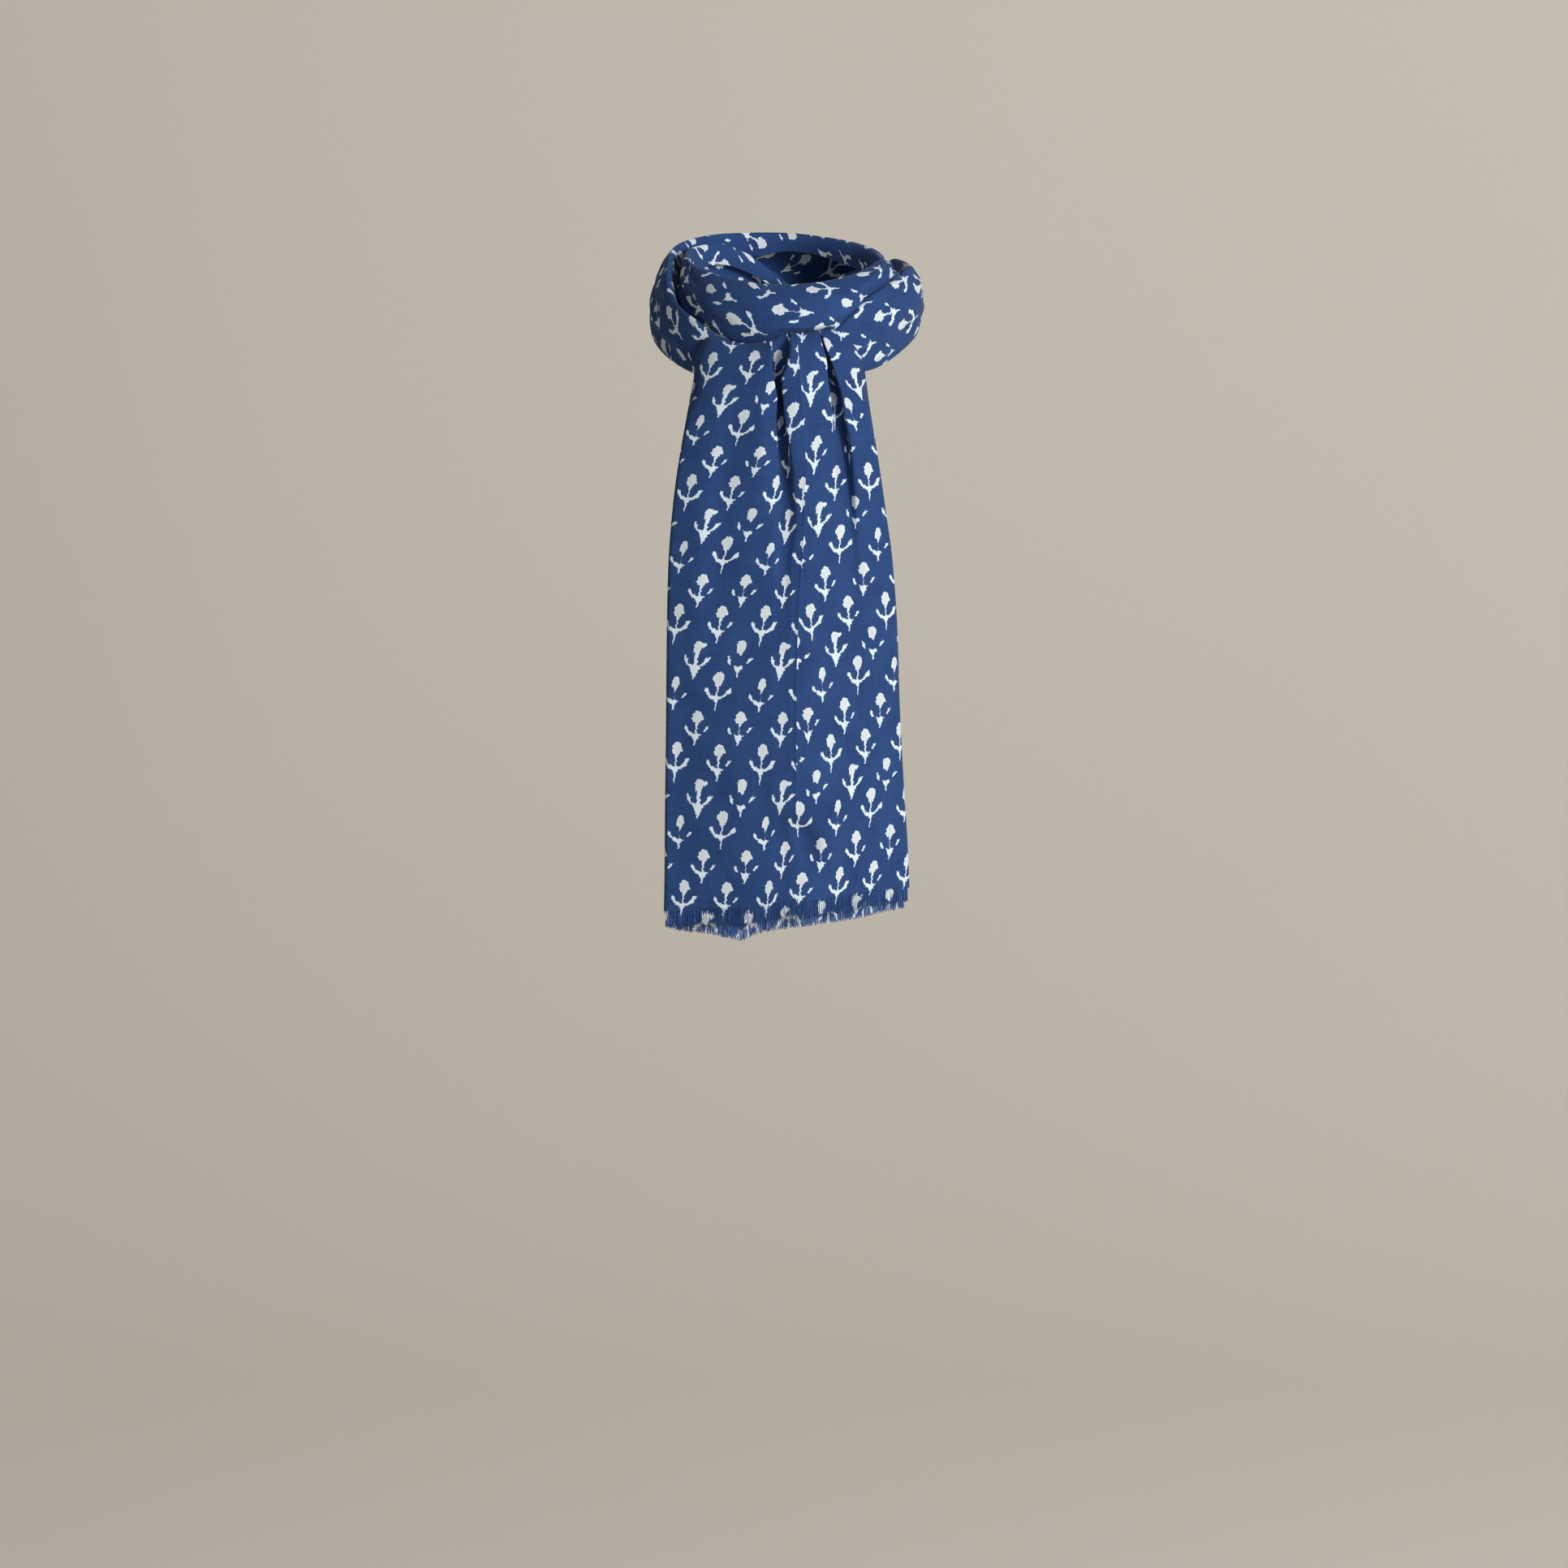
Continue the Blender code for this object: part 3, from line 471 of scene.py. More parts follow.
THROAT_SECTIONS = rows(TurnSection, (
    # angle, inner, tuck, crest, top, outer, belly, foot, low, heel, rise
    (100, 3.2, 15, 6.5, -1.5, 12.0, -10.0, 10.5, -24.0, 6.5, 4.0),
    (90, 3.0, 15, 7.0, -0.5, 13.0, -7.5, 11.5, -19.0, 7.0, 4.0),
    (80, 3.0, 15, 8.0, 1.5, 16.5, -5.5, 14.0, -13.5, 8.5, 3.5),
    (70, 3.0, 15, 8.5, 3.4, 22.5, -5.0, 19.0, -13.0, 12.5, 3.5),
    (58, 3.0, 15, 8.5, 1.5, 26.0, -9.0, 21.5, -18.0, 13.5, 4.5),
    (43, 3.0, 16, 8.5, -1.0, 27.5, -14.5, 22.5, -24.8, 13.5, 5.0),
    (30, 3.0, 16, 8.5, -3.0, 28.0, -20.0, 22.5, -34.0, 13.0, 6.0),
    (15, 3.0, 16, 8.5, -4.5, 28.0, -22.0, 22.0, -34.4, 13.0, 6.0),
    (10, 3.0, 16, 8.5, -4.7, 28.0, -22.2, 22.0, -35.0, 13.0, 6.0),
    (4, 3.0, 16, 8.5, -5.0, 28.0, -22.5, 22.0, -34.8, 13.0, 6.0),
    (-1, 3.0, 16, 8.5, -5.0, 28.0, -23.0, 22.0, -36.0, 13.0, 6.0),
    (-10, 3.0, 16, 8.5, -5.0, 28.0, -25.0, 22.0, -41.8, 13.0, 7.0),
    (-19, 3.0, 16, 8.5, -4.0, 27.5, -26.0, 22.0, -43.6, 13.0, 7.0),
    (-36, 3.0, 16, 8.5, -2.5, 25.0, -25.0, 20.0, -42.0, 12.5, 6.0),
    (-46, 3.0, 16, 8.0, -1.0, 22.0, -24.0, 17.5, -40.5, 11.5, 5.0),
    (-58, 3.0, 16, 8.0, 0.5, 19.0, -20.0, 15.0, -35.0, 10.0, 5.0),
    (-70, 3.0, 15, 7.5, 2.0, 15.5, -14.0, 12.5, -29.0, 8.5, 5.0),
    (-82, 3.0, 15, 7.0, 3.5, 11.2, -10.0, 10.0, -27.0, 6.5, 4.0),
    (-100, 3.0, 15, 6.0, 4.5, 9.4, -8.0, 8.6, -30.0, 6.0, 4.0),
    (-135, 3.0, 14, 6.0, 3.0, 9.4, -11.0, 8.6, -36.0, 6.0, 4.0),
    (-155, 3.2, 13, 6.2, -5.0, 10.0, -19.0, 9.0, -40.0, 6.5, 4.0),
    (-172, 4.0, 10, 7.0, -19.0, 10.8, -30.0, 10.0, -44.0, 7.2, 3.5),
    (-190, 5.5, 4, 7.8, -36.0, 10.8, -41.0, 10.0, -48.0, 8.0, 2.0),
))

LEFT_SECTIONS = rows(TurnSection, (
    (-13, 20.0, 7, 23.5, -51.0, 28.5, -55.5, 24.0, -62.0, 17.0, 4.0),
    (-28, 20.5, 7, 24.0, -43.0, 28.5, -56.0, 24.0, -63.5, 17.0, 4.0),
    (-37, 21.5, 9, 25.0, -35.5, 29.0, -54.0, 24.5, -66.0, 17.0, 4.5),
    (-43, 22.3, 10, 25.8, -30.5, 29.8, -50.5, 24.8, -66.8, 17.0, 5.0),
    (-50, 22.0, 12, 25.8, -26.5, 30.4, -46.5, 24.8, -65.4, 16.5, 6.0),
    (-58, 21.4, 14, 25.0, -22.0, 31.0, -42.5, 24.8, -62.8, 16.0, 7.0),
    (-66, 19.6, 16, 23.4, -15.0, 31.2, -39.5, 24.5, -60.4, 15.5, 8.0),
    (-74, 17.6, 18, 21.2, -5.5, 31.3, -37.0, 24.5, -58.8, 15.0, 9.0),
    (-83, 14.8, 20, 18.4, 0.0, 31.2, -35.0, 24.0, -58.0, 15.0, 10.0),
    (-95, 13.2, 22, 17.0, 2.5, 31.4, -33.0, 23.5, -56.5, 15.0, 10.0),
    (-115, 13.0, 22, 17.0, 6.0, 31.0, -29.0, 23.0, -53.5, 14.5, 10.0),
    (-140, 13.0, 22, 16.5, 7.0, 30.5, -26.0, 22.5, -50.0, 14.0, 9.0),
    (-165, 13.0, 16, 16.5, 6.0, 30.0, -24.0, 22.5, -47.5, 15.5, 7.0),
    (-184, 11.0, 12, 14.5, 5.5, 30.0, -22.0, 23.5, -43.0, 16.5, 6.0),
    (-200, 7.0, 12, 11.5, 4.5, 29.0, -18.0, 23.5, -34.5, 15.0, 5.0),
    (-215, 4.0, 14, 9.5, 3.5, 27.5, -13.0, 22.5, -25.0, 13.5, 5.0),
    (-228, 3.2, 15, 8.5, 2.5, 25.0, -9.0, 21.0, -17.5, 13.0, 4.5),
    (-238, 3.0, 15, 8.0, 1.5, 20.5, -6.5, 17.5, -14.0, 11.0, 3.5),
    (-248, 3.0, 15, 7.0, 0.0, 14.5, -8.0, 12.5, -17.5, 7.5, 4.0),
    (-259.2, 3.2, 15, 6.5, -1.5, 12.0, -10.0, 10.5, -24.0, 6.5, 4.0),
))

RIGHT_SECTIONS = rows(TurnSection, (
    (12, 20.0, 7, 23.5, -51.0, 28.5, -55.5, 24.0, -62.0, 17.0, 4.0),
    (21, 19.5, 8, 23.2, -38.5, 28.8, -53.5, 24.0, -63.0, 17.0, 4.0),
    (27, 18.5, 10, 25.6, -30.0, 29.0, -50.5, 24.0, -64.0, 16.8, 4.5),
    (32, 17.5, 11, 26.6, -24.5, 29.4, -48.0, 24.0, -64.6, 16.5, 5.0),
    (43, 17.0, 13, 26.8, -13.5, 30.8, -38.5, 24.5, -63.8, 16.0, 6.0),
    (58, 17.0, 14, 25.6, -8.0, 32.0, -32.0, 24.8, -59.4, 16.0, 7.0),
    (69, 18.5, 15, 23.8, -6.5, 33.3, -28.0, 25.0, -55.6, 16.0, 8.0),
    (77, 20.4, 17, 23.4, -4.5, 34.0, -27.0, 24.8, -53.8, 15.5, 9.0),
    (86, 18.5, 18, 24.8, -3.6, 34.2, -24.5, 24.4, -53.2, 15.5, 10.0),
    (98, 18.0, 18, 25.0, -5.0, 33.8, -24.0, 24.0, -52.5, 15.0, 10.0),
    (107, 19.0, 17, 25.2, -5.5, 33.0, -25.0, 23.5, -52.0, 15.0, 9.0),
    (114, 20.8, 15, 25.4, -5.8, 32.4, -26.0, 23.0, -51.5, 15.0, 8.0),
    (121, 23.0, 13, 26.4, -7.5, 32.0, -29.0, 23.0, -51.0, 15.0, 7.0),
    (127, 23.6, 12, 26.6, -16.0, 31.2, -32.0, 22.8, -50.5, 15.0, 6.5),
    (134, 19.5, 11, 23.8, -21.8, 30.0, -33.5, 22.5, -50.0, 15.0, 6.0),
    (146, 17.5, 10, 21.5, -28.8, 28.0, -37.0, 21.0, -49.8, 14.5, 5.0),
    (160, 17.0, 5, 20.0, -38.0, 24.5, -43.0, 19.5, -50.5, 13.5, 2.5),
    (170, 16.8, 3, 18.6, -43.0, 21.5, -46.5, 18.0, -51.0, 13.5, 1.0),
    (184, 13.6, 3, 15.2, -45.0, 17.8, -48.2, 15.0, -52.2, 12.4, 1.0),
))


class Crease(NamedTuple):
    """A soft ridge or trough that runs along a turn, placed on its section by share."""

    start: float
    end: float
    from_share: float
    to_share: float
    proud: float
    width: float


THROAT_CREASES = rows(Crease, (
    (-62, -14, 0.60, 0.72, -1.2, 0.060),
    (16, 66, 0.66, 0.52, -1.2, 0.060),
    (-48, 34, 0.40, 0.44, 0.8, 0.070),
    (-74, -28, 0.50, 0.66, -1.6, 0.030),
    (-70, -30, 0.57, 0.75, 1.3, 0.024),
    (-58, -18, 0.74, 0.81, 1.0, 0.022),
    (24, 72, 0.58, 0.44, -1.2, 0.030),
    (34, 74, 0.50, 0.38, 1.1, 0.026),
    (-24, 24, 0.62, 0.57, -0.8, 0.045),
    (-82, -44, 0.30, 0.44, -1.1, 0.032),
    (-16, 30, 0.72, 0.78, 0.9, 0.030),
    (26, 86, 0.575, 0.60, -4.5, 0.050),
    (14, 46, 0.86, 0.56, -3.5, 0.050),
    (-88, -22, 0.50, 0.84, -3.8, 0.050),
))
LEFT_CREASES = rows(Crease, (
    (-36, -86, 0.80, 0.74, 1.4, 0.045),
    (-40, -98, 0.68, 0.62, -1.9, 0.050),
    (-92, -150, 0.52, 0.66, -1.8, 0.060),
    (-128, -196, 0.50, 0.56, 1.4, 0.060),
    (-140, -206, 0.64, 0.70, -1.8, 0.060),
    (-38, -80, 0.86, 0.72, -1.6, 0.022),
    (-44, -92, 0.60, 0.52, 1.8, 0.026),
    (-56, -112, 0.50, 0.42, -1.6, 0.024),
    (-60, -100, 0.36, 0.28, 1.2, 0.024),
    (-100, -168, 0.76, 0.82, 1.3, 0.026),
    (-112, -178, 0.44, 0.40, -1.4, 0.028),
    (-150, -212, 0.58, 0.62, 1.2, 0.024),
    (-158, -220, 0.76, 0.74, -1.1, 0.026),
))
RIGHT_CREASES = rows(Crease, (
    (34, 92, 0.72, 0.56, -1.7, 0.055),
    (60, 118, 0.80, 0.72, 1.2, 0.050),
    (98, 148, 0.52, 0.66, -1.7, 0.060),
    (26, 70, 0.62, 0.44, 1.5, 0.028),
    (24, 60, 0.52, 0.36, -1.4, 0.026),
    (36, 84, 0.82, 0.74, -1.4, 0.024),
    (52, 98, 0.46, 0.34, 1.1, 0.026),
    (72, 124, 0.62, 0.52, 1.2, 0.026),
    (104, 156, 0.74, 0.80, -1.1, 0.028),
))


def ease(keys: Sequence[float], values: Sequence[float], at: float) -> float:
    """Monotone cubic interpolation, so that eased sizes never overshoot their table.

    Args:
        keys: rising places.
        values: a value at each place.
        at: the place asked for.

    Returns:
        The value there.
    """
    if at <= keys[0]:
        return float(values[0])
    if at >= keys[-1]:
        return float(values[-1])
    step = np.diff(np.asarray(keys, float))
    slope = np.diff(np.asarray(values, float)) / step
    tangent = np.zeros(len(keys))
    tangent[0], tangent[-1] = slope[0], slope[-1]
    for i in range(1, len(keys) - 1):
        if slope[i - 1] * slope[i] > 0:
            before, after = 2 * step[i] + step[i - 1], step[i] + 2 * step[i - 1]
            tangent[i] = (before + after) / (before / slope[i - 1] + after / slope[i])
    i = int(np.searchsorted(keys, at) - 1)
    t = (at - keys[i]) / step[i]
    return float(values[i] * (2 * t**3 - 3 * t**2 + 1) + tangent[i] * step[i] * (t**3 - 2 * t**2 + t)
                 + values[i + 1] * (-2 * t**3 + 3 * t**2) + tangent[i + 1] * step[i] * (t**3 - t**2))


def from_pairs(pairs: Sequence[tuple[float, float]], at: float) -> float:
    """Eased value of a short list of (place, value) pairs."""
    return ease([p for p, _ in pairs], [v for _, v in pairs], at)


def lengths(points: np.ndarray) -> np.ndarray:
    """Length along a line of points, at each of them."""
    steps = np.linalg.norm(np.diff(points, axis=0), axis=1)
    return np.concatenate([[0.0], np.cumsum(steps)])


def lengths_up(shell: np.ndarray) -> np.ndarray:
    """Length up each column of a grid, from its last row."""
    return np.stack([lengths(shell[::-1, k])[::-1] for k in range(shell.shape[1])], axis=1)


def link(piece: bpy.types.Object) -> bpy.types.Object:
    """Put an object in the scene."""
    bpy.context.scene.collection.objects.link(piece)
    return piece


def declare(piece: bpy.types.Object, replaced: str) -> bpy.types.Object:
    """Put a piece in place of one of the frame's nodes, which is hidden, and hang it on the body.

    Args:
        piece: the piece.
        replaced: the frame's node.

    Returns:
        The piece.
    """
    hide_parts(replaced)
    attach(piece, BODY)
    return piece


def smooth_path(points: Sequence[Sequence[float]], count: int) -> np.ndarray:
    """Centripetal Catmull-Rom curve through the points, resampled evenly by length.

    Args:
        points: places that the curve passes.
        count: how many points come back.

    Returns:
        The curve's points.
    """
    given = [np.asarray(p, float) for p in points]
    ends = [2 * given[0] - given[1]] + given + [2 * given[-1] - given[-2]]
    dense = []
    for a, b, c, d in zip(ends, ends[1:], ends[2:], ends[3:]):
        t1 = math.sqrt(np.linalg.norm(b - a))
        t2 = t1 + math.sqrt(np.linalg.norm(c - b))
        t3 = t2 + math.sqrt(np.linalg.norm(d - c))
        for t in np.linspace(t1, t2, 12, endpoint=False):
            ab = a + (b - a) * t / t1
            bc = b + (c - b) * (t - t1) / (t2 - t1)
            cd = c + (d - c) * (t - t2) / (t3 - t2)
            abc = ab + (bc - ab) * t / t2
            bcd = bc + (cd - bc) * (t - t1) / (t3 - t1)
            dense.append(abc + (bcd - abc) * (t - t1) / (t2 - t1))
    line = np.array([*dense, given[-1]])
    length = lengths(line)
    at = np.linspace(0, length[-1], count)
    return np.stack([np.interp(at, length, line[:, k]) for k in range(line.shape[1])], axis=1)


def cloth_mesh(name: str, points: np.ndarray, places: np.ndarray, material: bpy.types.Material,
               beyond: np.ndarray | None = None, seam: int = 0) -> bpy.types.Object:
    """Thin shell of cloth on a grid of points.

    Args:
        name: the piece's name.
        points: rows of points in millimetres.
        places: each point's place on the flat printed cloth, in millimetres.
        material: the cloth's finish.
        beyond: the places of the faces from the seam's column on, where the print jumps.
        seam: that column.

    Returns:
        The piece, with a wall of the cloth's thickness.
    """
    levels, columns = points.shape[:2]
    index = np.arange(levels * columns).reshape(levels, columns)
    faces = np.stack([index[:-1, :-1], index[:-1, 1:], index[1:, 1:], index[1:, :-1]], axis=-1)
    mesh = bpy.data.meshes.new(name)
    mesh.from_pydata((points.reshape(-1, 3) * MM).tolist(), [], faces.reshape(-1, 4).tolist())
    mapped = mesh.uv_layers.new(name="print")
    corners = np.zeros(len(mesh.loops), dtype=np.int32)
    mesh.loops.foreach_get("vertex_index", corners)
    spots = places.reshape(-1, 2)[corners]
    if beyond is not None:
        over = (np.arange(len(corners)) // 4) % (columns - 1) >= seam
        spots = np.where(over[:, None], beyond.reshape(-1, 2)[corners], spots)
    mapped.data.foreach_set("uv", (spots * MM).astype(np.float32).ravel())
    mesh.materials.append(material)
    mesh.shade_smooth()
    piece = link(bpy.data.objects.new(name, mesh))
    wall = piece.modifiers.new("wall", "SOLIDIFY")
    wall.thickness = CLOTH * MM
    wall.offset = 0.0
    wall.use_quality_normals = True
    return piece


class Lean(NamedTuple):
    """How the print lies at an angle: its turn from the strip's own way, and its place."""

    angle: float
    turn: float
    across: float
    up: float


THROAT_LEANS = rows(Lean, (
    (-100, 0, 50, 22), (-55, 0, 45, 19), (-40, 0, 43.2, 19.5), (-20, 9, 43.7, 26),
    (-2, 8, 49.2, 28.3), (15, -6, 49.3, 30), (29, -6, 50, 28.6), (60, -6, 56, 36),
))
LEFT_LEANS = rows(Lean, (
    (-259, 17, 40, 38), (-84, 17, 40, 38), (-72, 17, 41, 31), (-60, 17, 39.5, 30),
    (-50, 17, 40.4, 30.3), (-43, 17, 41.1, 30.5), (-37, 17, 41.8, 30.7),
    (-28, 17, 41.3, 30.5), (-13, 17, 39.5, 30),
))
RIGHT_LEANS = rows(Lean, (
    (12, -2, -1.3, 71), (21, -2, 0.7, 71.3), (27, -2, 2.4, 71.5), (32, -2, 3.1, 71.6),
    (43, -2, 5.7, 72), (50, -2, 6.2, 72.5), (58, -2, 5.9, 73.2), (64, -2, 5.4, 74.8),
    (69, -2, 5.6, 77), (77, -2, 4.3, 80.8), (95, -2, 4, 84), (170, -2, 4, 84),
))

# How a section rounds between its table's sizes: shares of the way out, down, in and up
SHOULDER_OUT, SHOULDER_DOWN, UNDER_IN, UNDER_UP = 0.66, 0.40, 0.22, 0.36
# Where the inner return turns, as a share of the tuck, and how far its end leans
RETURN_TURN, RETURN_LEAN = 0.42, 0.3


@dataclass
class Turn:
    """One stretch of the scarf that goes round the neck, as a folded shell of cloth."""

    name: str
    sections: tuple[TurnSection, ...]
    creases: tuple[Crease, ...]
    leans: tuple[Lean, ...]
    pivot: float
    step: float = 1.5
    count: int = 96

    @property
    def way(self) -> int:
        """Whether the table's angles fall, so that the strip runs up the print, or rise."""
        return 1 if self.sections[-1].angle < self.sections[0].angle else -1

    def size(self, column: str, angle: float) -> float:
        """Eased value of a named column at an angle."""
        ordered = sorted(self.sections, key=lambda row: row.angle)
        return ease([row.angle for row in ordered], [getattr(row, column) for row in ordered], angle)

    def outline(self, angle: float) -> np.ndarray:
        """Section at an angle in (distance, height), from its inner end to its low inner end.

        Args:
            angle: where round the neck.

        Returns:
            The section's points.
        """
        size = {name: self.size(name, angle) for name in TurnSection._fields[1:]}
        shoulder = (size["crest"] + SHOULDER_OUT * (size["outer"] - size["crest"]),
                    size["top"] + SHOULDER_DOWN * (size["belly"] - size["top"]))
        under = (size["outer"] - UNDER_IN * (size["outer"] - size["foot"]),
                 size["low"] + UNDER_UP * (size["belly"] - size["low"]))
        return smooth_path([
            (size["inner"] + RETURN_LEAN, size["top"] - size["tuck"]),
            (size["inner"], size["top"] - RETURN_TURN * size["tuck"]),
            (size["crest"], size["top"]),
            shoulder,
            (size["outer"], size["belly"]),
            under,
            (size["foot"], size["low"]),
            (size["heel"], size["low"] + size["rise"]),
        ], self.count)

    def lift(self, angle: float, share: np.ndarray) -> np.ndarray:
        """How far the creases lift the section's points off its plain face.

        Args:
            angle: where round the neck.
            share: each point's share of the way along the section.

        Returns:
            A height for each point.
        """
        height = np.zeros_like(share)
        for crease in self.creases:
            along = (angle - crease.start) / (crease.end - crease.start)
            if 0.0 < along < 1.0:
                middle = crease.from_share + (crease.to_share - crease.from_share) * along
                fall = np.exp(-((share - middle) / crease.width) ** 2)
                height += crease.proud * math.sin(math.pi * along) * fall
        return height

    def grid(self) -> tuple[np.ndarray, np.ndarray]:
        """Points of the shell and their places on the flat print.

        Returns:
            Two grids, with a row for each section.
        """
        first, last = self.sections[0].angle, self.sections[-1].angle
        angles = np.linspace(first, last, round(abs(last - first) / self.step) + 1)
        share = np.linspace(0, 1, self.count)
        points, across = [], []
        for angle in angles:
            line = self.outline(angle)
            slope = np.gradient(line, axis=0)
            normal = np.stack([-slope[:, 1], slope[:, 0]], axis=1)
            normal /= np.linalg.norm(normal, axis=1, keepdims=True)
            line = line + normal * self.lift(angle, share)[:, None]
            turn = math.radians(angle)
            points.append(np.stack([(NECK_HALF_WIDTH + line[:, 0]) * math.sin(turn),
                                    -(NECK_HALF_DEPTH + line[:, 0]) * math.cos(turn),
                                    line[:, 1]], axis=1))
            across.append(-(lengths(line) - lengths(line)[self.count // 2]))
        shell = np.array(points)
        along = lengths(shell[:, self.count // 2])
        along = (along - np.interp(abs(self.pivot - first), np.abs(angles - first), along))
        along *= self.way
        # The strip's middle line wanders over the print at its lean, so that nothing stretches
        ordered = sorted(self.leans)
        lean, *place = [[ease([row.angle for row in ordered], [row[k] for row in ordered], angle)
                         for angle in angles] for k in (1, 2, 3)]
        lean = np.radians(lean)
        path = np.stack([-np.sin(lean), np.cos(lean)], axis=1)
        path = np.cumsum(path * np.gradient(along)[:, None], axis=0)
        path -= [np.interp(0.0, along[::self.way], path[::self.way, k]) for k in (0, 1)]
        path += np.transpose(place)
        wide = np.array(across)[..., None] * np.stack([np.cos(lean), np.sin(lean)], axis=1)[:, None]
        return shell, path[:, None] + wide

    def build(self, material: bpy.types.Material, rests_on: Sequence[str]) -> bpy.types.Object:
        """Args:
            material: the cloth's finish.
            rests_on: names of what the turn lies on; not used.

        Returns:
            The piece.
        """
        shell, places = self.grid()
        piece = declare(cloth_mesh(f"{self.name}_cloth", shell, places, material), self.name)
        return piece


class TailRow(NamedTuple):
    """One level of the front tail, from its hidden inner end over the crest to the hem."""

    ahead: float
    height: float
    left: float
    right: float
    bow: float
    follow: float
    edge_turn: float
    deep_left: float
    wide_left: float
    at_left: float
    deep_right: float
    wide_right: float
    at_right: float
    tuck: float
    swing: float


FRONT_ROWS = rows(TailRow, (
    # ahead, height, left, right, bow, follow, turn, left pleat: deep wide at, right, tuck, swing
    (77.0, -31.8, -45, 36.5, 13, 1.0, 0, 0.0, 6.0, -2.2, 0.5, 1.0, 23.0, 8.0, 0),
    (80.5, -33.3, -48, 37.5, 14, 1.0, 0, 0.5, 6.0, -2.2, 1.0, 1.0, 23.2, 8.1, 0),
    (87.0, -34.2, -51, 39.0, 16, 1.0, 0, 2.5, 6.0, -2.2, 2.0, 1.0, 23.8, 8.3, 0),
    (94.0, -36.4, -54, 41.0, 18, 1.0, 0, 5.0, 6.0, -2.2, 4.0, 1.0, 24.8, 8.6, 0),
    (98.5, -41.0, -56.5, 44.5, 19, 0.9, 0, 8.5, 6.0, -2.2, 6.5, 1.1, 26.0, 9.1, 0),
    (101.0, -46.5, -58.5, 49, 19.5, 0.7, 0, 11.5, 5.8, -2.3, 9.0, 1.3, 28.0, 9.6, 0),
    (103.0, -54.0, -59.4, 52.4, 19.5, 0.45, 0, 14.0, 4.6, -3.2, 13.5, 1.9, 30.2, 10.2, 2),
    (105.5, -63.0, -59.9, 54.0, 18.0, 0.2, 10, 15.0, 2.7, -4.0, 16.0, 2.9, 31.8, 11.0, 4),
    (108.5, -74.0, -61.6, 55.3, 15.5, 0.0, 50, 15.0, 2.1, -2.8, 15.5, 3.7, 34.2, 12.0, 7),
    (112.0, -88.0, -64.2, 57.4, 13.0, 0.0, 100, 12.5, 3.0, -2.4, 12.0, 4.2, 36.0, 13.0, 10),
    (116.5, -107.0, -67.8, 60.6, 11.0, 0.0, 140, 9.5, 4.0, -0.4, 8.5, 4.8, 38.8, 14.0, 14),
    (121.5, -130.0, -71.6, 64.3, 9.5, 0.0, 165, 6.5, 5.0, 0.9, 6.5, 5.4, 40.6, 14.6, 18),
    (126.0, -156.0, -74.6, 68.1, 8.5, 0.0, 172, 3.5, 6.5, 1.4, 3.5, 6.5, 41.4, 15.0, 21),
    (129.0, -187.0, -76.8, 72.3, 7.5, 0.0, 172, 1.4, 5.0, -1.0, 1.5, 7.5, 42.2, 15.4, 23),
    (131.0, -235.0, -78.0, 75.9, 7.0, 0.0, 172, 0.4, 5.0, -2.0, 0.4, 8.0, 43.4, 15.8, 27),
    (131.5, -296.0, -78.8, 78.2, 6.5, 0.0, 172, 0.4, 5.0, -2.0, 0.4, 8.0, 44.0, 16.0, 31),
    (130.0, -355.0, -79.8, 81.6, 6.0, 0.0, 172, 0.4, 5.0, -2.0, 0.4, 8.0, 45.0, 16.0, 32),
    (128.0, -400.0, -80.4, 84.4, 6.0, 0.0, 172, 0.4, 5.0, -2.0, 0.4, 8.0, 46.0, 16.0, 32),
    (127.0, -424.0, -81.0, 85.4, 6.0, 0.0, 172, 0.4, 5.0, -2.0, 0.4, 8.0, 46.0, 16.0, 32),
))
# Uneven line of the crest where it meets the throat turn: position across, rise
CREST_LINE = (
    (-60, -8.0), (-49, -5.8), (-40, -7.1), (-31, -8.3), (-24, -8.8), (-14.5, -7.2),
    (-8, -4.4), (-1.6, -1.2), (5, -0.2), (15, -1.0), (21, 0.2), (40, 0.0), (47, -1.6),
)
# Where the tails' cloth ends above its fringe: position across, change from the last row
FRONT_HEM = ((-81, -2.5), (-66, -1.0), (-52, 1.0), (-16, 3.0), (-2, 6.5), (24, 7.2), (47, 6.0),
             (66, 5.4), (86, 3.7))
BACK_HEM = ((-81, -4.0), (-65, -6.5), (-50, -7.5), (-28, -11.5), (-19, -7.0), (-3, -4.0),
            (20, -1.6), (40, -2.4), (53, -2.5), (66, -1.6), (86, -2.3))


class BackRow(NamedTuple):
    """One level of the back tail, from its hidden top inside the turns to the hem."""

    ahead: float
    height: float
    left: float
    right: float
    bow: float
    edge_turn: float
    swing: float


BACK_ROWS = rows(BackRow, (
    (73.5, -46.0, -21, 21, 3.0, 0, 0),
    (74.0, -56.0, -23, 23, 3.2, 0, 0),
    (77.5, -66.5, -27, 27, 4.0, 0, 0),
    (87.5, -75.0, -33, 33, 5.0, 0, 2),
    (96.0, -87.0, -42, 40, 7.0, 0, 7),
    (104.5, -107.0, -55, 51, 8.5, 50, 13),
    (112.0, -130.0, -64, 59, 9.0, 110, 18),
    (118.0, -156.0, -69, 64, 8.3, 150, 21),
    (121.3, -187.0, -72, 68, 7.5, 172, 23),
    (123.3, -235.0, -75, 73, 7.0, 172, 27),
    (123.8, -296.0, -76.5, 76.5, 6.5, 172, 31),
    (122.3, -355.0, -77.5, 79.5, 6.0, 172, 32),
    (120.3, -400.0, -78.5, 82.0, 6.0, 172, 32),
    (119.3, -424.0, -79, 83.0, 6.0, 172, 32),
))

# A tail's curled edge, in length of arc and of flap, and how its face bows from side to side
EDGE_ARC, EDGE_FLAP, BOW_POWER = 6.5, 5.0, 2.2
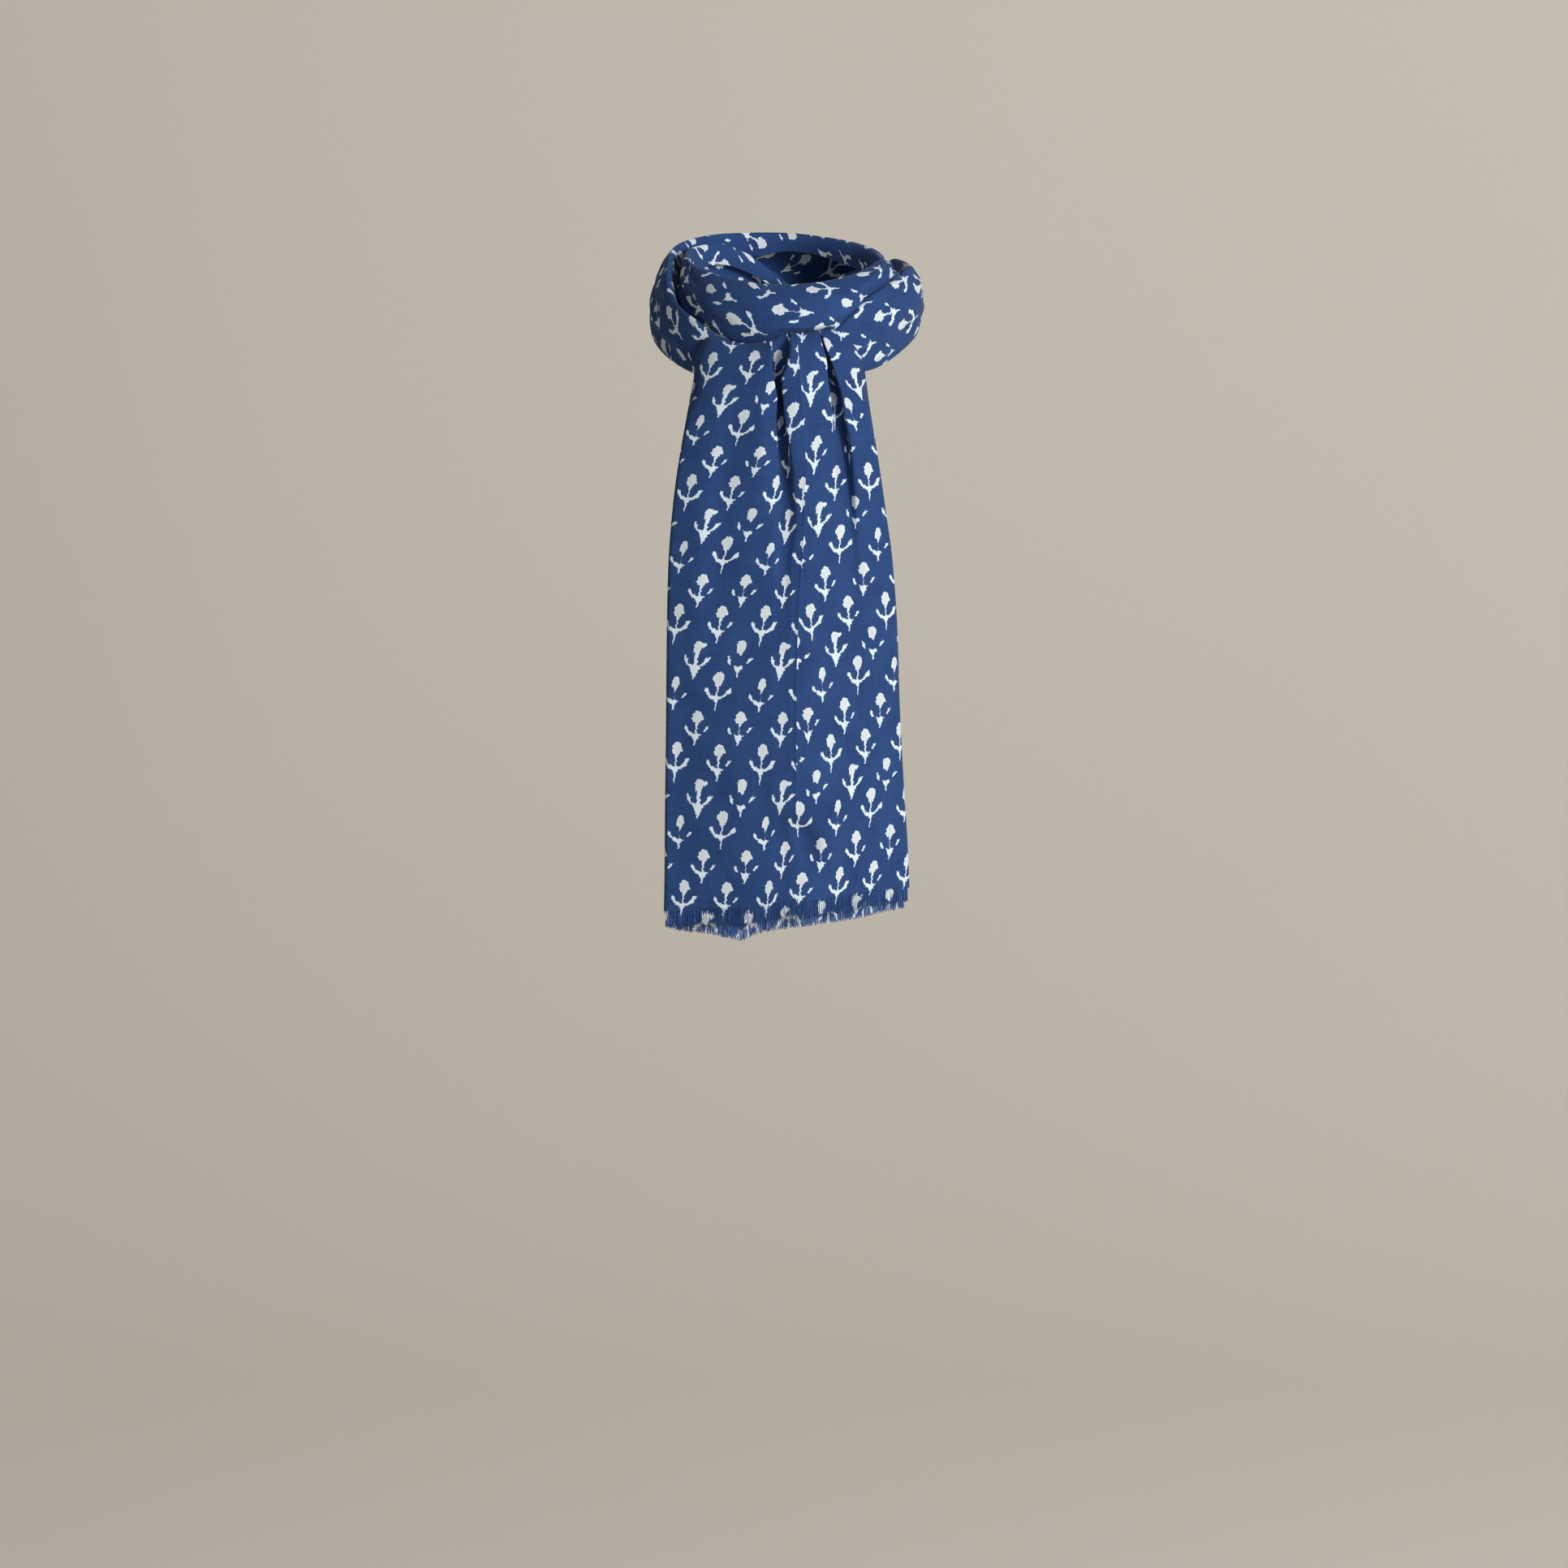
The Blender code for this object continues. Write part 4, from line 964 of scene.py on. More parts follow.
# Height below which a tail's hem line pulls its rows, and how far down its pull grows
HEM_START, HEM_REACH = -300.0, 124.0
# Where the back tail turns back, and how softly both do
BACK_SWING_LINE, SWING_SOFT = 15.0, 5.0
# A pleat's section in shares of its width and depth: low down a soft trough, and near the top
# two pressed lips that hide its walls
SOFT_PLEAT = ((-1.5, 0.0), (-1.3, 0.03), (-1.1, 0.12), (-0.85, 0.45), (-0.5, 0.88), (0.0, 1.0),
              (0.5, 0.88), (0.85, 0.45), (1.1, 0.12), (1.3, 0.03), (1.5, 0.0))
LEFT_PLEAT = ((-1.5, 0.0), (-1.08, 0.01), (-1.0, 0.08), (-1.1, 0.45), (-0.9, 0.92), (0.0, 1.0),
              (0.75, 0.9), (1.1, 0.5), (1.04, 0.12), (1.15, 0.01), (1.5, 0.0))
RIGHT_PLEAT = ((-1.5, 0.0), (-1.08, 0.01), (-1.0, 0.08), (-1.15, 0.5), (-0.9, 0.9), (-0.3, 1.0),
               (0.6, 0.92), (1.05, 0.5), (1.02, 0.12), (1.13, 0.01), (1.5, 0.0))
# How far the pleats are pressed, by height
PRESSED = ((-128, 0.0), (-96, 1.0))
# Half the width of the pressed tuck's edge, and how far it stands up
TUCK_HALF, TUCK_PROUD = 1.6, 0.5


class PrintRow(NamedTuple):
    """Where the print's columns and rows lie on a tail at a height."""

    height: float
    line: float
    rise: float


LEFT_PRINT = rows(PrintRow, (
    (-407, -68.0, 9.0), (-363, -70.5, 9.0), (-311, -72.8, 3.6),
    (-265, -73.2, 3.8), (-216, -70.9, 0.0), (-175, -67.7, 2.8),
    (-130, -62.3, 4.0), (-90, -56.5, 9.5), (-47, -48.5, 10.5),
))
RIGHT_PRINT = rows(PrintRow, (
    (-393, 53.3, 2.5), (-345, 51.0, 0.0), (-299, 44.7, -1.0),
    (-252, 37.8, -3.0), (-208, 29.2, -3.5), (-164, 24.4, -2.5),
    (-123, 22.0, -1.0), (-80, 22.0, 0.0), (-41, 19.0, 4.0),
))
# Where the tuck's edge shows, left of the line that the cloth turns back at
TUCK_SHIFT = ((-330, -8.0), (-269, -7.7), (-236, -6.9), (-214, -5.8), (-163, -2.0), (-120, 0.0))
# Heights between which the tuck ends and the print runs on past it, and where its pull begins
TUCK_END, TUCK_START, PULL_FROM = -368.0, -326.0, -14.0
# Width of cloth that each pleat takes in, down the tail
LEFT_TAKES = ((-400, 0.2), (-355, 0.0), (-296, 1.6), (-235, 2.1), (-187, 3.7), (-156, 7.4),
              (-130, 11.1), (-107, 20.4), (-88, 24.9), (-74, 26.3), (-46, 26.3))
RIGHT_TAKES = ((-400, 6.2), (-355, 6.4), (-296, 5.4), (-235, 3.8), (-187, 2.6), (-156, 3.3),
               (-130, 6.2), (-107, 10.2), (-88, 16.8), (-74, 23.0), (-63, 27.0), (-46, 29.5))
# How much of it lies on the pleat's left, so where the print stands on its floor
LEFT_FLOOR = ((-400, 0.1), (-235, 1.0), (-187, 1.8), (-156, 3.7), (-130, 5.0), (-107, 3.5),
              (-88, 3.0), (-74, 9.0), (-63, 12.0), (-46, 13.0))
RIGHT_FLOOR = ((-400, 3.1), (-235, 1.9), (-187, 1.3), (-156, 1.5), (-130, 1.5), (-107, 0.5),
               (-88, 0.0), (-74, 4.0), (-63, 12.0), (-46, 14.0))
# How far the cloth right of the left pleat is pulled up
LEFT_CLIMB = ((-125, 0.0), (-90, -5.0), (-70, -6.0), (-46, -6.0))
# Length up the tail from its last row to the bud that the print is set by
PRINT_BUD = 208.5
# Columns of the print between the two that its places are measured from
PRINT_COLUMNS = 5
# Height of the tails' last row, and how far up the back tail's hem cuts into its print
LAST_ROW = -424.0
BACK_CUT = 7.0
# Where a pleat's two walls lie, in shares of its points: their place and their width, which
# narrows as the pleat is pressed
WALL_IN, WALL_WIDE, WALL_PRESSED = 0.14, 0.34, 0.16
# Points between the tuck and the right pleat
GAP_POINTS = 3
# How far a fold fades beyond its ends, in shares of its length
FADE = 0.2


class Fold(NamedTuple):
    """A soft ridge or trough on a tail's face, along a line between two places on it."""

    start: tuple[float, float]
    end: tuple[float, float]
    proud: float
    width: float


FRONT_FOLDS = rows(Fold, (
    ((13, -366), (18, -393), -6.5, 5.5),
    ((26, -360), (31, -396), 2.6, 6.0),
    ((2, -360), (24, -380), -2.2, 7.0),
    ((-14, -345), (10, -392), -1.6, 9.0),
    ((34, -355), (24, -420), 1.6, 8.0),
    ((-34, -290), (-26, -420), 1.3, 11.0),
    ((-8, -300), (-2, -350), 1.2, 9.0),
    ((-52, -110), (-62, -260), 1.6, 10.0),
    ((-32, -66), (-46, -200), -1.8, 9.0),
    ((-14, -70), (-18, -160), 1.2, 6.0),
    ((-6, -64), (-3, -170), -1.8, 5.0),
    ((6, -52), (11, -130), 1.7, 4.0),
    ((20, -110), (22, -210), 1.3, 7.0),
    ((36, -66), (44, -160), -1.8, 5.0),
    ((46, -100), (60, -240), 1.5, 7.0),
    ((38, -190), (50, -330), -1.6, 10.0),
    ((62, -190), (72, -320), 1.4, 8.0),
    ((-66, -250), (-72, -380), -1.2, 8.0),
    ((56, -330), (66, -424), -1.4, 8.0),
))
BACK_FOLDS = rows(Fold, (
    ((-30, -140), (-38, -400), 1.0, 12.0),
    ((20, -150), (14, -380), -1.0, 10.0),
    ((50, -200), (58, -410), 0.8, 9.0),
))


def turned_edge(degrees: float, steps: int) -> list[tuple[float, float]]:
    """Points (outwards, backwards) of an edge turned under by an angle, ending in a flap.

    Args:
        degrees: how far the edge is turned.
        steps: how many steps its curl has.

    Returns:
        The points, from the face outwards.
    """
    across, back = 0.0, 0.0
    points = [(across, back)]
    for step in range(steps):
        heading = math.radians(degrees) * (step + 0.5) / steps
        across += EDGE_ARC / steps * math.cos(heading)
        back += EDGE_ARC / steps * math.sin(heading)
        points.append((across, back))
    heading = math.radians(degrees)
    points.append((across + EDGE_FLAP * math.cos(heading), back + EDGE_FLAP * math.sin(heading)))
    return points


def swung_back(x: float, line: float, degrees: float) -> float:
    """How far back a point lies where the cloth beyond a line turns away."""
    over = x - line
    return math.tan(math.radians(degrees)) * 0.5 * (over + math.hypot(over, SWING_SOFT))


def spread(start: float, end: float, count: int) -> list[tuple[float, float]]:
    """Evenly spaced points on the face between two positions, without the ends."""
    return [(start + (end - start) * k / (count + 1), 0.0) for k in range(1, count + 1)]


def fold_height(folds: Sequence[Fold], x: np.ndarray, z: np.ndarray) -> np.ndarray:
    """How far the folds lift points of a tail's face.

    Args:
        folds: the tail's folds.
        x: the points' positions across.
        z: the points' heights.

    Returns:
        A height for each point.
    """
    height = np.zeros_like(x)
    for fold in folds:
        dx, dz = fold.end[0] - fold.start[0], fold.end[1] - fold.start[1]
        long = dx * dx + dz * dz
        along = ((x - fold.start[0]) * dx + (z - fold.start[1]) * dz) / long
        off = ((x - fold.start[0]) * dz - (z - fold.start[1]) * dx) / math.sqrt(long)
        run = np.clip(along, -FADE, 1 + FADE)
        fade = np.clip(np.sin(math.pi * (run + FADE) / (1 + 2 * FADE)), 0, 1)
        height += fold.proud * fade * np.exp(-(off / fold.width) ** 2)
    return height


@dataclass
class Tail:
    """One hanging tail: rows eased down its path, columns evenly spaced across."""

    name: str
    rows: tuple
    hem: tuple[tuple[float, float], ...]
    folds: tuple[Fold, ...]
    level_step: float = 2.0
    curl_steps: int = 10
    shell: np.ndarray = field(default_factory=lambda: np.zeros(0))
    places: np.ndarray = field(default_factory=lambda: np.zeros(0))
    beyond: np.ndarray | None = None
    seam: int = 0

    def levels(self) -> list[dict[str, float]]:
        """Sizes of every level down the path, eased between the table's rows.

        Returns:
            A dictionary of sizes for each level.
        """
        keys = [0.0]
        for upper, lower in zip(self.rows, self.rows[1:]):
            keys.append(keys[-1] + math.hypot(lower.ahead - upper.ahead, lower.height - upper.height))
        return [{name: ease(keys, [getattr(row, name) for row in self.rows], at)
                 for name in type(self.rows[0])._fields}
                for at in np.linspace(0, keys[-1], round(keys[-1] / self.level_step) + 1)]

    def across(self, size: dict[str, float]) -> list[tuple[float, float]]:
        """Positions across a level and how far each lies behind the face."""
        raise NotImplementedError

    def swing_line(self, size: dict[str, float]) -> float:
        """Position of the line beyond which a level turns back."""
        raise NotImplementedError

    def make_grid(self) -> None:
        """Work out the tail's points."""
        grid = []
        for size in self.levels():
            half = 0.5 * (size["right"] - size["left"])
            middle = 0.5 * (size["right"] + size["left"])
            pull = max(0.0, (HEM_START - size["height"]) / HEM_REACH) ** 2
            line = []
            for x, back in self.across(size):
                lift = size.get("follow", 0.0) * from_pairs(CREST_LINE, x)
                lift += pull * from_pairs(self.hem, x)
                bow = size["bow"] * abs((x - middle) / half) ** BOW_POWER
                bow += swung_back(x, self.swing_line(size), size["swing"])
                line.append((x, -size["ahead"] + bow + back, size["height"] + lift))
            grid.append(line)
        self.shell = np.array(grid)
        self.shell[..., 1] -= fold_height(self.folds, self.shell[..., 0], self.shell[..., 2])

    def hem_line(self, margin: int) -> tuple[np.ndarray, np.ndarray]:
        """Follow the hem between the curled edges.

        Args:
            margin: columns left out at each edge.

        Returns:
            The hem's points, and their places on the print.
        """
        last = slice(margin, self.shell.shape[1] - margin)
        places = self.places[-1].copy()
        if self.beyond is not None:
            places[self.seam:] = self.beyond[-1][self.seam:]
        return self.shell[-1][last], places[last]

    def build(self, material: bpy.types.Material) -> bpy.types.Object:
        """Make the tail, dress it and put it in place of the frame's node of its name.

        Args:
            material: the cloth's finish.

        Returns:
            The piece.
        """
        return declare(cloth_mesh(f"{self.name}_cloth", self.shell, self.places, material,
                                  self.beyond, self.seam), self.name)


@dataclass
class FrontTail(Tail):
    """The front tail, with two pleats under the throat and a pressed tuck down its face."""

    face_left: int = 44
    face_right: int = 22
    pleat_points: int = 37
    tuck_points: int = 9

    def swing_line(self, size: dict[str, float]) -> float:
        """The cloth turns back at the tuck."""
        return size["tuck"]

    def across(self, size: dict[str, float]) -> list[tuple[float, float]]:
        """Positions across a level: curled edge, face, pleat, tuck, pleat, face, curled edge.

        Args:
            size: the level's sizes.

        Returns:
            Position across and distance behind the face of each point.
        """
        turn = turned_edge(size["edge_turn"], self.curl_steps)
        reach = max(out for out, _ in turn)
        left_start, right_start = size["left"] + reach, size["right"] - reach
        pleats = {}
        pressed = from_pairs(PRESSED, size["height"])
        for side, form in (("left", LEFT_PLEAT), ("right", RIGHT_PLEAT)):
            form = np.array(SOFT_PLEAT) + pressed * (np.array(form) - np.array(SOFT_PLEAT))
            shape = [(size[f"at_{side}"] + k * size[f"wide_{side}"], share * size[f"deep_{side}"])
                     for k, share in form]
            pleats[side] = [tuple(p) for p in smooth_path(shape, self.pleat_points)]
        edge = size["tuck"] + from_pairs(TUCK_SHIFT, size["height"])
        proud = TUCK_PROUD * from_pairs(((TUCK_END, 0.0), (TUCK_START, 1.0)), size["height"])
        tuck = [(edge + TUCK_HALF * t, -proud * math.cos(math.pi * t / 2) ** 2)
                for t in np.linspace(-1, 1, self.tuck_points)]
        points = [(left_start - out, back) for out, back in reversed(turn)]
        points += spread(left_start, pleats["left"][0][0], self.face_left)
        points += pleats["left"] + tuck
        points += spread(tuck[-1][0], pleats["right"][0][0], GAP_POINTS)
        points += pleats["right"]
        points += spread(pleats["right"][-1][0], right_start, self.face_right)
        points += [(right_start + out, back) for out, back in turn]
        return points

    def set_print(self) -> None:
        """Lay the print on the tail: measured up the cloth, and across from both sides."""
        turned = self.curl_steps + 2
        anchor = turned + self.face_left // 2
        tuck = turned + self.face_left + self.pleat_points + self.tuck_points // 2
        up = lengths_up(self.shell)
        hem_up = self.shell[-1, :, 2] - LAST_ROW
        self.seam = tuck
        self.places = np.zeros((*self.shell.shape[:2], 2))
        self.beyond = np.zeros((*self.shell.shape[:2], 2))
        starts = (turned + self.face_left, tuck + self.tuck_points // 2 + GAP_POINTS + 1)
        columns = np.arange(self.shell.shape[1])
        for i, line in enumerate(self.shell):
            run = lengths(line)
            height = float(line[anchor, 2])
            pressed = from_pairs(PRESSED, height)
            hidden = []
            for takes, floor, start in zip((LEFT_TAKES, RIGHT_TAKES), (LEFT_FLOOR, RIGHT_FLOOR), starts):
                end, middle = start + self.pleat_points - 1, start + self.pleat_points // 2
                # The cloth that isn't drawn goes where it can't be seen, on the pleat's walls
                on_floor, beyond = (from_pairs(table, height)
                                    - (run[at] - run[start]) + (line[at, 0] - line[start, 0])
                                    for table, at in ((floor, middle), (takes, end)))
                inside, wall = (columns - start) / self.pleat_points, WALL_WIDE - WALL_PRESSED * pressed
                left_wall = np.clip((inside - WALL_IN) / wall, 0, 1)
                right_wall = np.clip((inside - 1 + WALL_IN) / wall + 1, 0, 1)
                hidden.append(on_floor * left_wall + (beyond - on_floor) * right_wall)
                if floor is LEFT_FLOOR:
                    climb = from_pairs(LEFT_CLIMB, height) * right_wall
            left, right = ([from_pairs([(r.height, getattr(r, k)) for r in table], height)
                            for k in ("line", "rise")] for table in (LEFT_PRINT, RIGHT_PRINT))
            u_left = run - run[anchor] + line[anchor, 0] - left[0] + hidden[0]
            turn = np.interp(line[tuck, 0] - from_pairs(TUCK_SHIFT, height),
                             line[tuck:starts[1] + GAP_POINTS, 0], run[tuck:starts[1] + GAP_POINTS])
            u_right = run - turn - right[0] + PRINT_COLUMNS * COLUMN_PITCH + hidden[1]
            v = up[i] + hem_up - PRINT_BUD + BUD_RISE
            # Under the tuck's end the print is drawn together instead of being hidden
            pull = from_pairs(((TUCK_END, 1.0), (TUCK_START, 0.0)), height)
            near = np.clip((line[:, 0] - PULL_FROM) / (line[tuck, 0] - PULL_FROM), 0, 1)
            near = pull * near * near * (3 - 2 * near)
            u_left += near * (u_right[tuck] - u_left[tuck])
            v_left = v + left[1] + climb + near * (right[1] - left[1])
            self.places[i] = np.column_stack([u_left, v_left])
            self.beyond[i] = np.column_stack([u_right, v + right[1]])


@dataclass
class BackTail(Tail):
    """The back tail, which hangs behind the front one and shows at its hem."""

    face: int = 80

    def swing_line(self, size: dict[str, float]) -> float:
        """The cloth turns back at its own line."""
        return BACK_SWING_LINE

    def across(self, size: dict[str, float]) -> list[tuple[float, float]]:
        """Positions across a level: curled edge, face, curled edge.

        Args:
            size: the level's sizes.

        Returns:
            Position across and distance behind the face of each point.
        """
        turn = turned_edge(size["edge_turn"], self.curl_steps)
        reach = max(out for out, _ in turn)
        left_start, right_start = size["left"] + reach, size["right"] - reach
        return ([(left_start - out, back) for out, back in reversed(turn)]
                + spread(left_start, right_start, self.face)
                + [(right_start + out, back) for out, back in turn])

    def set_print(self) -> None:
        """Lay the print on the tail with its sprigs head down, as on the scarf's other end."""
        middle = self.shell.shape[1] // 2
        self.places = np.zeros((*self.shell.shape[:2], 2))
        up = lengths_up(self.shell)
        for i, line in enumerate(self.shell):
            run = lengths(line)
            self.places[i, :, 0] = -(run - run[middle])
            self.places[i, :, 1] = -up[i] - BACK_CUT


# Columns at each edge of a hem without fringe, and how far threads leave their even spacing
FRINGE_MARGIN, JITTER = 9, 0.45
# How far roots lie in the cloth and waver about it, and how far loose ones stand ahead and rise
ROOTED, WAVER, LOOSE_AHEAD, LOOSE_RISE = 0.3, 0.2, 0.55, (0.8, 3.0)


@dataclass
class HemFringe:
    """Short frayed threads under a tail's hem, laid out by Geometry Nodes."""

    name: str
    count: int
    length: float
    seed: int
    radius: float = 0.19
    uneven: float = 0.20
    sway: float = 3.4
    loose: float = 0.14
    tip: float = 0.35

    def tree(self, material: bpy.types.Material) -> bpy.types.NodeTree:
        """Build the tree that hangs a tapering thread from each point of the hem.

        Args:
            material: the threads' finish.

        Returns:
            The tree, with named inputs for its sizes.
        """
        tree = bpy.data.node_groups.new(f"{self.name}_threads", "GeometryNodeTree")
        sizes = ("Length", "Radius", "Uneven", "Sway", "Tip")
        for name, way in (("Hem", "INPUT"), *((name, "INPUT") for name in sizes), ("Threads", "OUTPUT")):
            kind = "NodeSocketFloat" if name in sizes else "NodeSocketGeometry"
            tree.interface.new_socket(name, in_out=way, socket_type=kind)
        entry = add_node(tree, "NodeGroupInput")
        length, radius, uneven, sway = (Number(entry.outputs[name]) for name in sizes[:4])
        # A thread of unit length that hangs down, gently bent, in four-sided section
        spine = add_node(tree, "GeometryNodeCurvePrimitiveBezierSegment",
                         {"Start": (0, 0, 0), "Start Handle": (0, 0, -0.33),
                          "End Handle": (0.05, 0.02, -0.66), "End": (0.02, 0.0, -1.0),
                          "Resolution": 5})
        down = add_node(tree, "GeometryNodeSplineParameter").outputs["Factor"]
        thin = add_node(tree, "ShaderNodeMapRange",
                        {"Value": down, "To Min": 1.0, "To Max": entry.outputs["Tip"]})
        thread = add_node(tree, "GeometryNodeSetCurveRadius",
                          {"Curve": spine.outputs[0], "Radius": thin.outputs[0]})
        marked = add_node(tree, "GeometryNodeStoreNamedAttribute",
                          {"Geometry": thread.outputs[0], "Name": "drop", "Value": down},
                          data_type="FLOAT", domain="POINT")
        # The ring is sized in shares of the thread's length, so that scaling keeps it round
        share = (radius / length).socket
        scale = add_node(tree, "ShaderNodeCombineXYZ", {"X": share, "Y": share, "Z": 1.0})
        ring = add_node(tree, "GeometryNodeCurvePrimitiveCircle", {"Resolution": 4, "Radius": 1.0})
        sized = add_node(tree, "GeometryNodeTransform",
                         {"Geometry": ring.outputs[0], "Scale": scale.outputs[0]})
        tube = add_node(tree, "GeometryNodeCurveToMesh",
                        {"Curve": marked.outputs[0], "Profile Curve": sized.outputs[0],
                         "Fill Caps": True})
        most = sway * (math.pi / 180)
        low, high = (add_node(tree, "ShaderNodeCombineXYZ", {"X": lean, "Y": lean, "Z": turn})
                     for lean, turn in (((most * -1.0).socket, 0.0), (most.socket, 2 * math.pi)))
        tilt = add_node(tree, "FunctionNodeRandomValue",
                        {0: low.outputs[0], 1: high.outputs[0], "Seed": self.seed},
                        data_type="FLOAT_VECTOR")
        stretch = add_node(tree, "FunctionNodeRandomValue",
                           {2: uneven.by(-1.0, 1.0).socket, 3: (uneven + 1.0).socket,
                            "Seed": self.seed + 1}, data_type="FLOAT")
        long = (Number(stretch.outputs[1]) * length).socket
        whole = add_node(tree, "ShaderNodeCombineXYZ",
                         {"X": length.socket, "Y": length.socket, "Z": long})
        hung = add_node(tree, "GeometryNodeInstanceOnPoints",
                        {"Points": entry.outputs["Hem"], "Instance": tube.outputs[0],
                         "Rotation": tilt.outputs[0], "Scale": whole.outputs[0]})
        real = add_node(tree, "GeometryNodeRealizeInstances", {"Geometry": hung.outputs[0]})
        dressed = add_node(tree, "GeometryNodeSetMaterial",
                           {"Geometry": real.outputs[0], "Material": material})
        add_node(tree, "NodeGroupOutput", {"Threads": dressed.outputs[0]})
        return tree

    def build(self, tail: Tail, material: bpy.types.Material, replaced: str) -> bpy.types.Object:
        """Hang the threads from a tail's hem, with the print running on down them.

        Args:
            tail: the tail whose hem is fringed.
            material: the threads' finish.
            replaced: the frame's node that the fringe stands for.

        Returns:
            The piece.
        """
        line, places = tail.hem_line(FRINGE_MARGIN)
        length = lengths(line)
        rng = np.random.default_rng(self.seed)
        at = np.sort((np.arange(self.count) + rng.uniform(-JITTER, JITTER, self.count)) / self.count)
        at = np.clip(at, 0, 1) * length[-1]
        roots = np.stack([np.interp(at, length, line[:, k]) for k in range(3)], axis=1)
        spots = np.stack([np.interp(at, length, places[:, k]) for k in range(2)], axis=1)
        loose = rng.uniform(0, 1, self.count) < self.loose
        roots[:, 1] += np.where(loose, -LOOSE_AHEAD, rng.uniform(-WAVER, WAVER, self.count))
        roots[:, 2] += np.where(loose, rng.uniform(*LOOSE_RISE, self.count), ROOTED)
        mesh = bpy.data.meshes.new(self.name)
        mesh.from_pydata((roots * MM).tolist(), [], [])
        root_spot = mesh.attributes.new("root", "FLOAT_VECTOR", "POINT")
        root_spot.data.foreach_set("vector", np.column_stack(
            [spots * MM, np.zeros(self.count)]).astype(np.float32).ravel())
        piece = link(bpy.data.objects.new(self.name, mesh))
        nodes = piece.modifiers.new("threads", "NODES")
        nodes.node_group = self.tree(material)
        sizes = {"Length": self.length * MM, "Radius": self.radius * MM,
                 "Uneven": self.uneven, "Sway": self.sway, "Tip": self.tip}
        for item in nodes.node_group.interface.items_tree:
            if item.item_type == "SOCKET" and item.in_out == "INPUT" and item.name in sizes:
                nodes[item.identifier] = sizes[item.name]
        depsgraph = bpy.context.evaluated_depsgraph_get()
        grown = bpy.data.meshes.new_from_object(piece.evaluated_get(depsgraph), depsgraph=depsgraph)
        piece.modifiers.clear()
        piece.data = grown
        grown.name = self.name
        grown.shade_smooth()
        self.print_threads(grown, tail)
        return declare(piece, replaced)

    def print_threads(self, mesh: bpy.types.Mesh, tail: Tail) -> None:
        """Give each thread the place on the print that it would have on the cloth.

        Args:
            mesh: the threads.
            tail: the tail that they hang from.
        """
        count = len(mesh.vertices)
        root = np.zeros(count * 3, dtype=np.float32)
        mesh.attributes["root"].data.foreach_get("vector", root)
        drop = np.zeros(count, dtype=np.float32)
        mesh.attributes["drop"].data.foreach_get("value", drop)
        way = np.sign(tail.places[-1, 0, 1] - tail.places[-2, 0, 1])
        spots = root.reshape(-1, 3)[:, :2].copy()
        spots[:, 1] += way * drop * self.length * MM
        corners = np.zeros(len(mesh.loops), dtype=np.int32)
        mesh.loops.foreach_get("vertex_index", corners)
        layer = mesh.uv_layers.new(name="print")
        layer.data.foreach_set("uv", spots[corners].ravel())
        for name in ("root", "drop"):
            mesh.attributes.remove(mesh.attributes[name])


class Lamp(NamedTuple):
    """A soft square light: its place and side in metres, and its power in watts."""

    name: str
    at: tuple[float, float, float]
    size: float
    watts: float


LAMPS = (Lamp("key", (2.95, -2.95, 1.65), 1.4, 176), Lamp("fill", (1.8, -4.0, 0.5), 1.6, 26))
LAMP_TINT = "#FAFCFF"
PAPER_TINTS = ("#E6DDCF", "#EBE3D6")
AIR_TINT, AIR_STRENGTH = "#DDDDDD", 0.33
# Place in metres that the lights face, just under the collar
LIT_PLACE = (0.0, -0.05, -0.2)


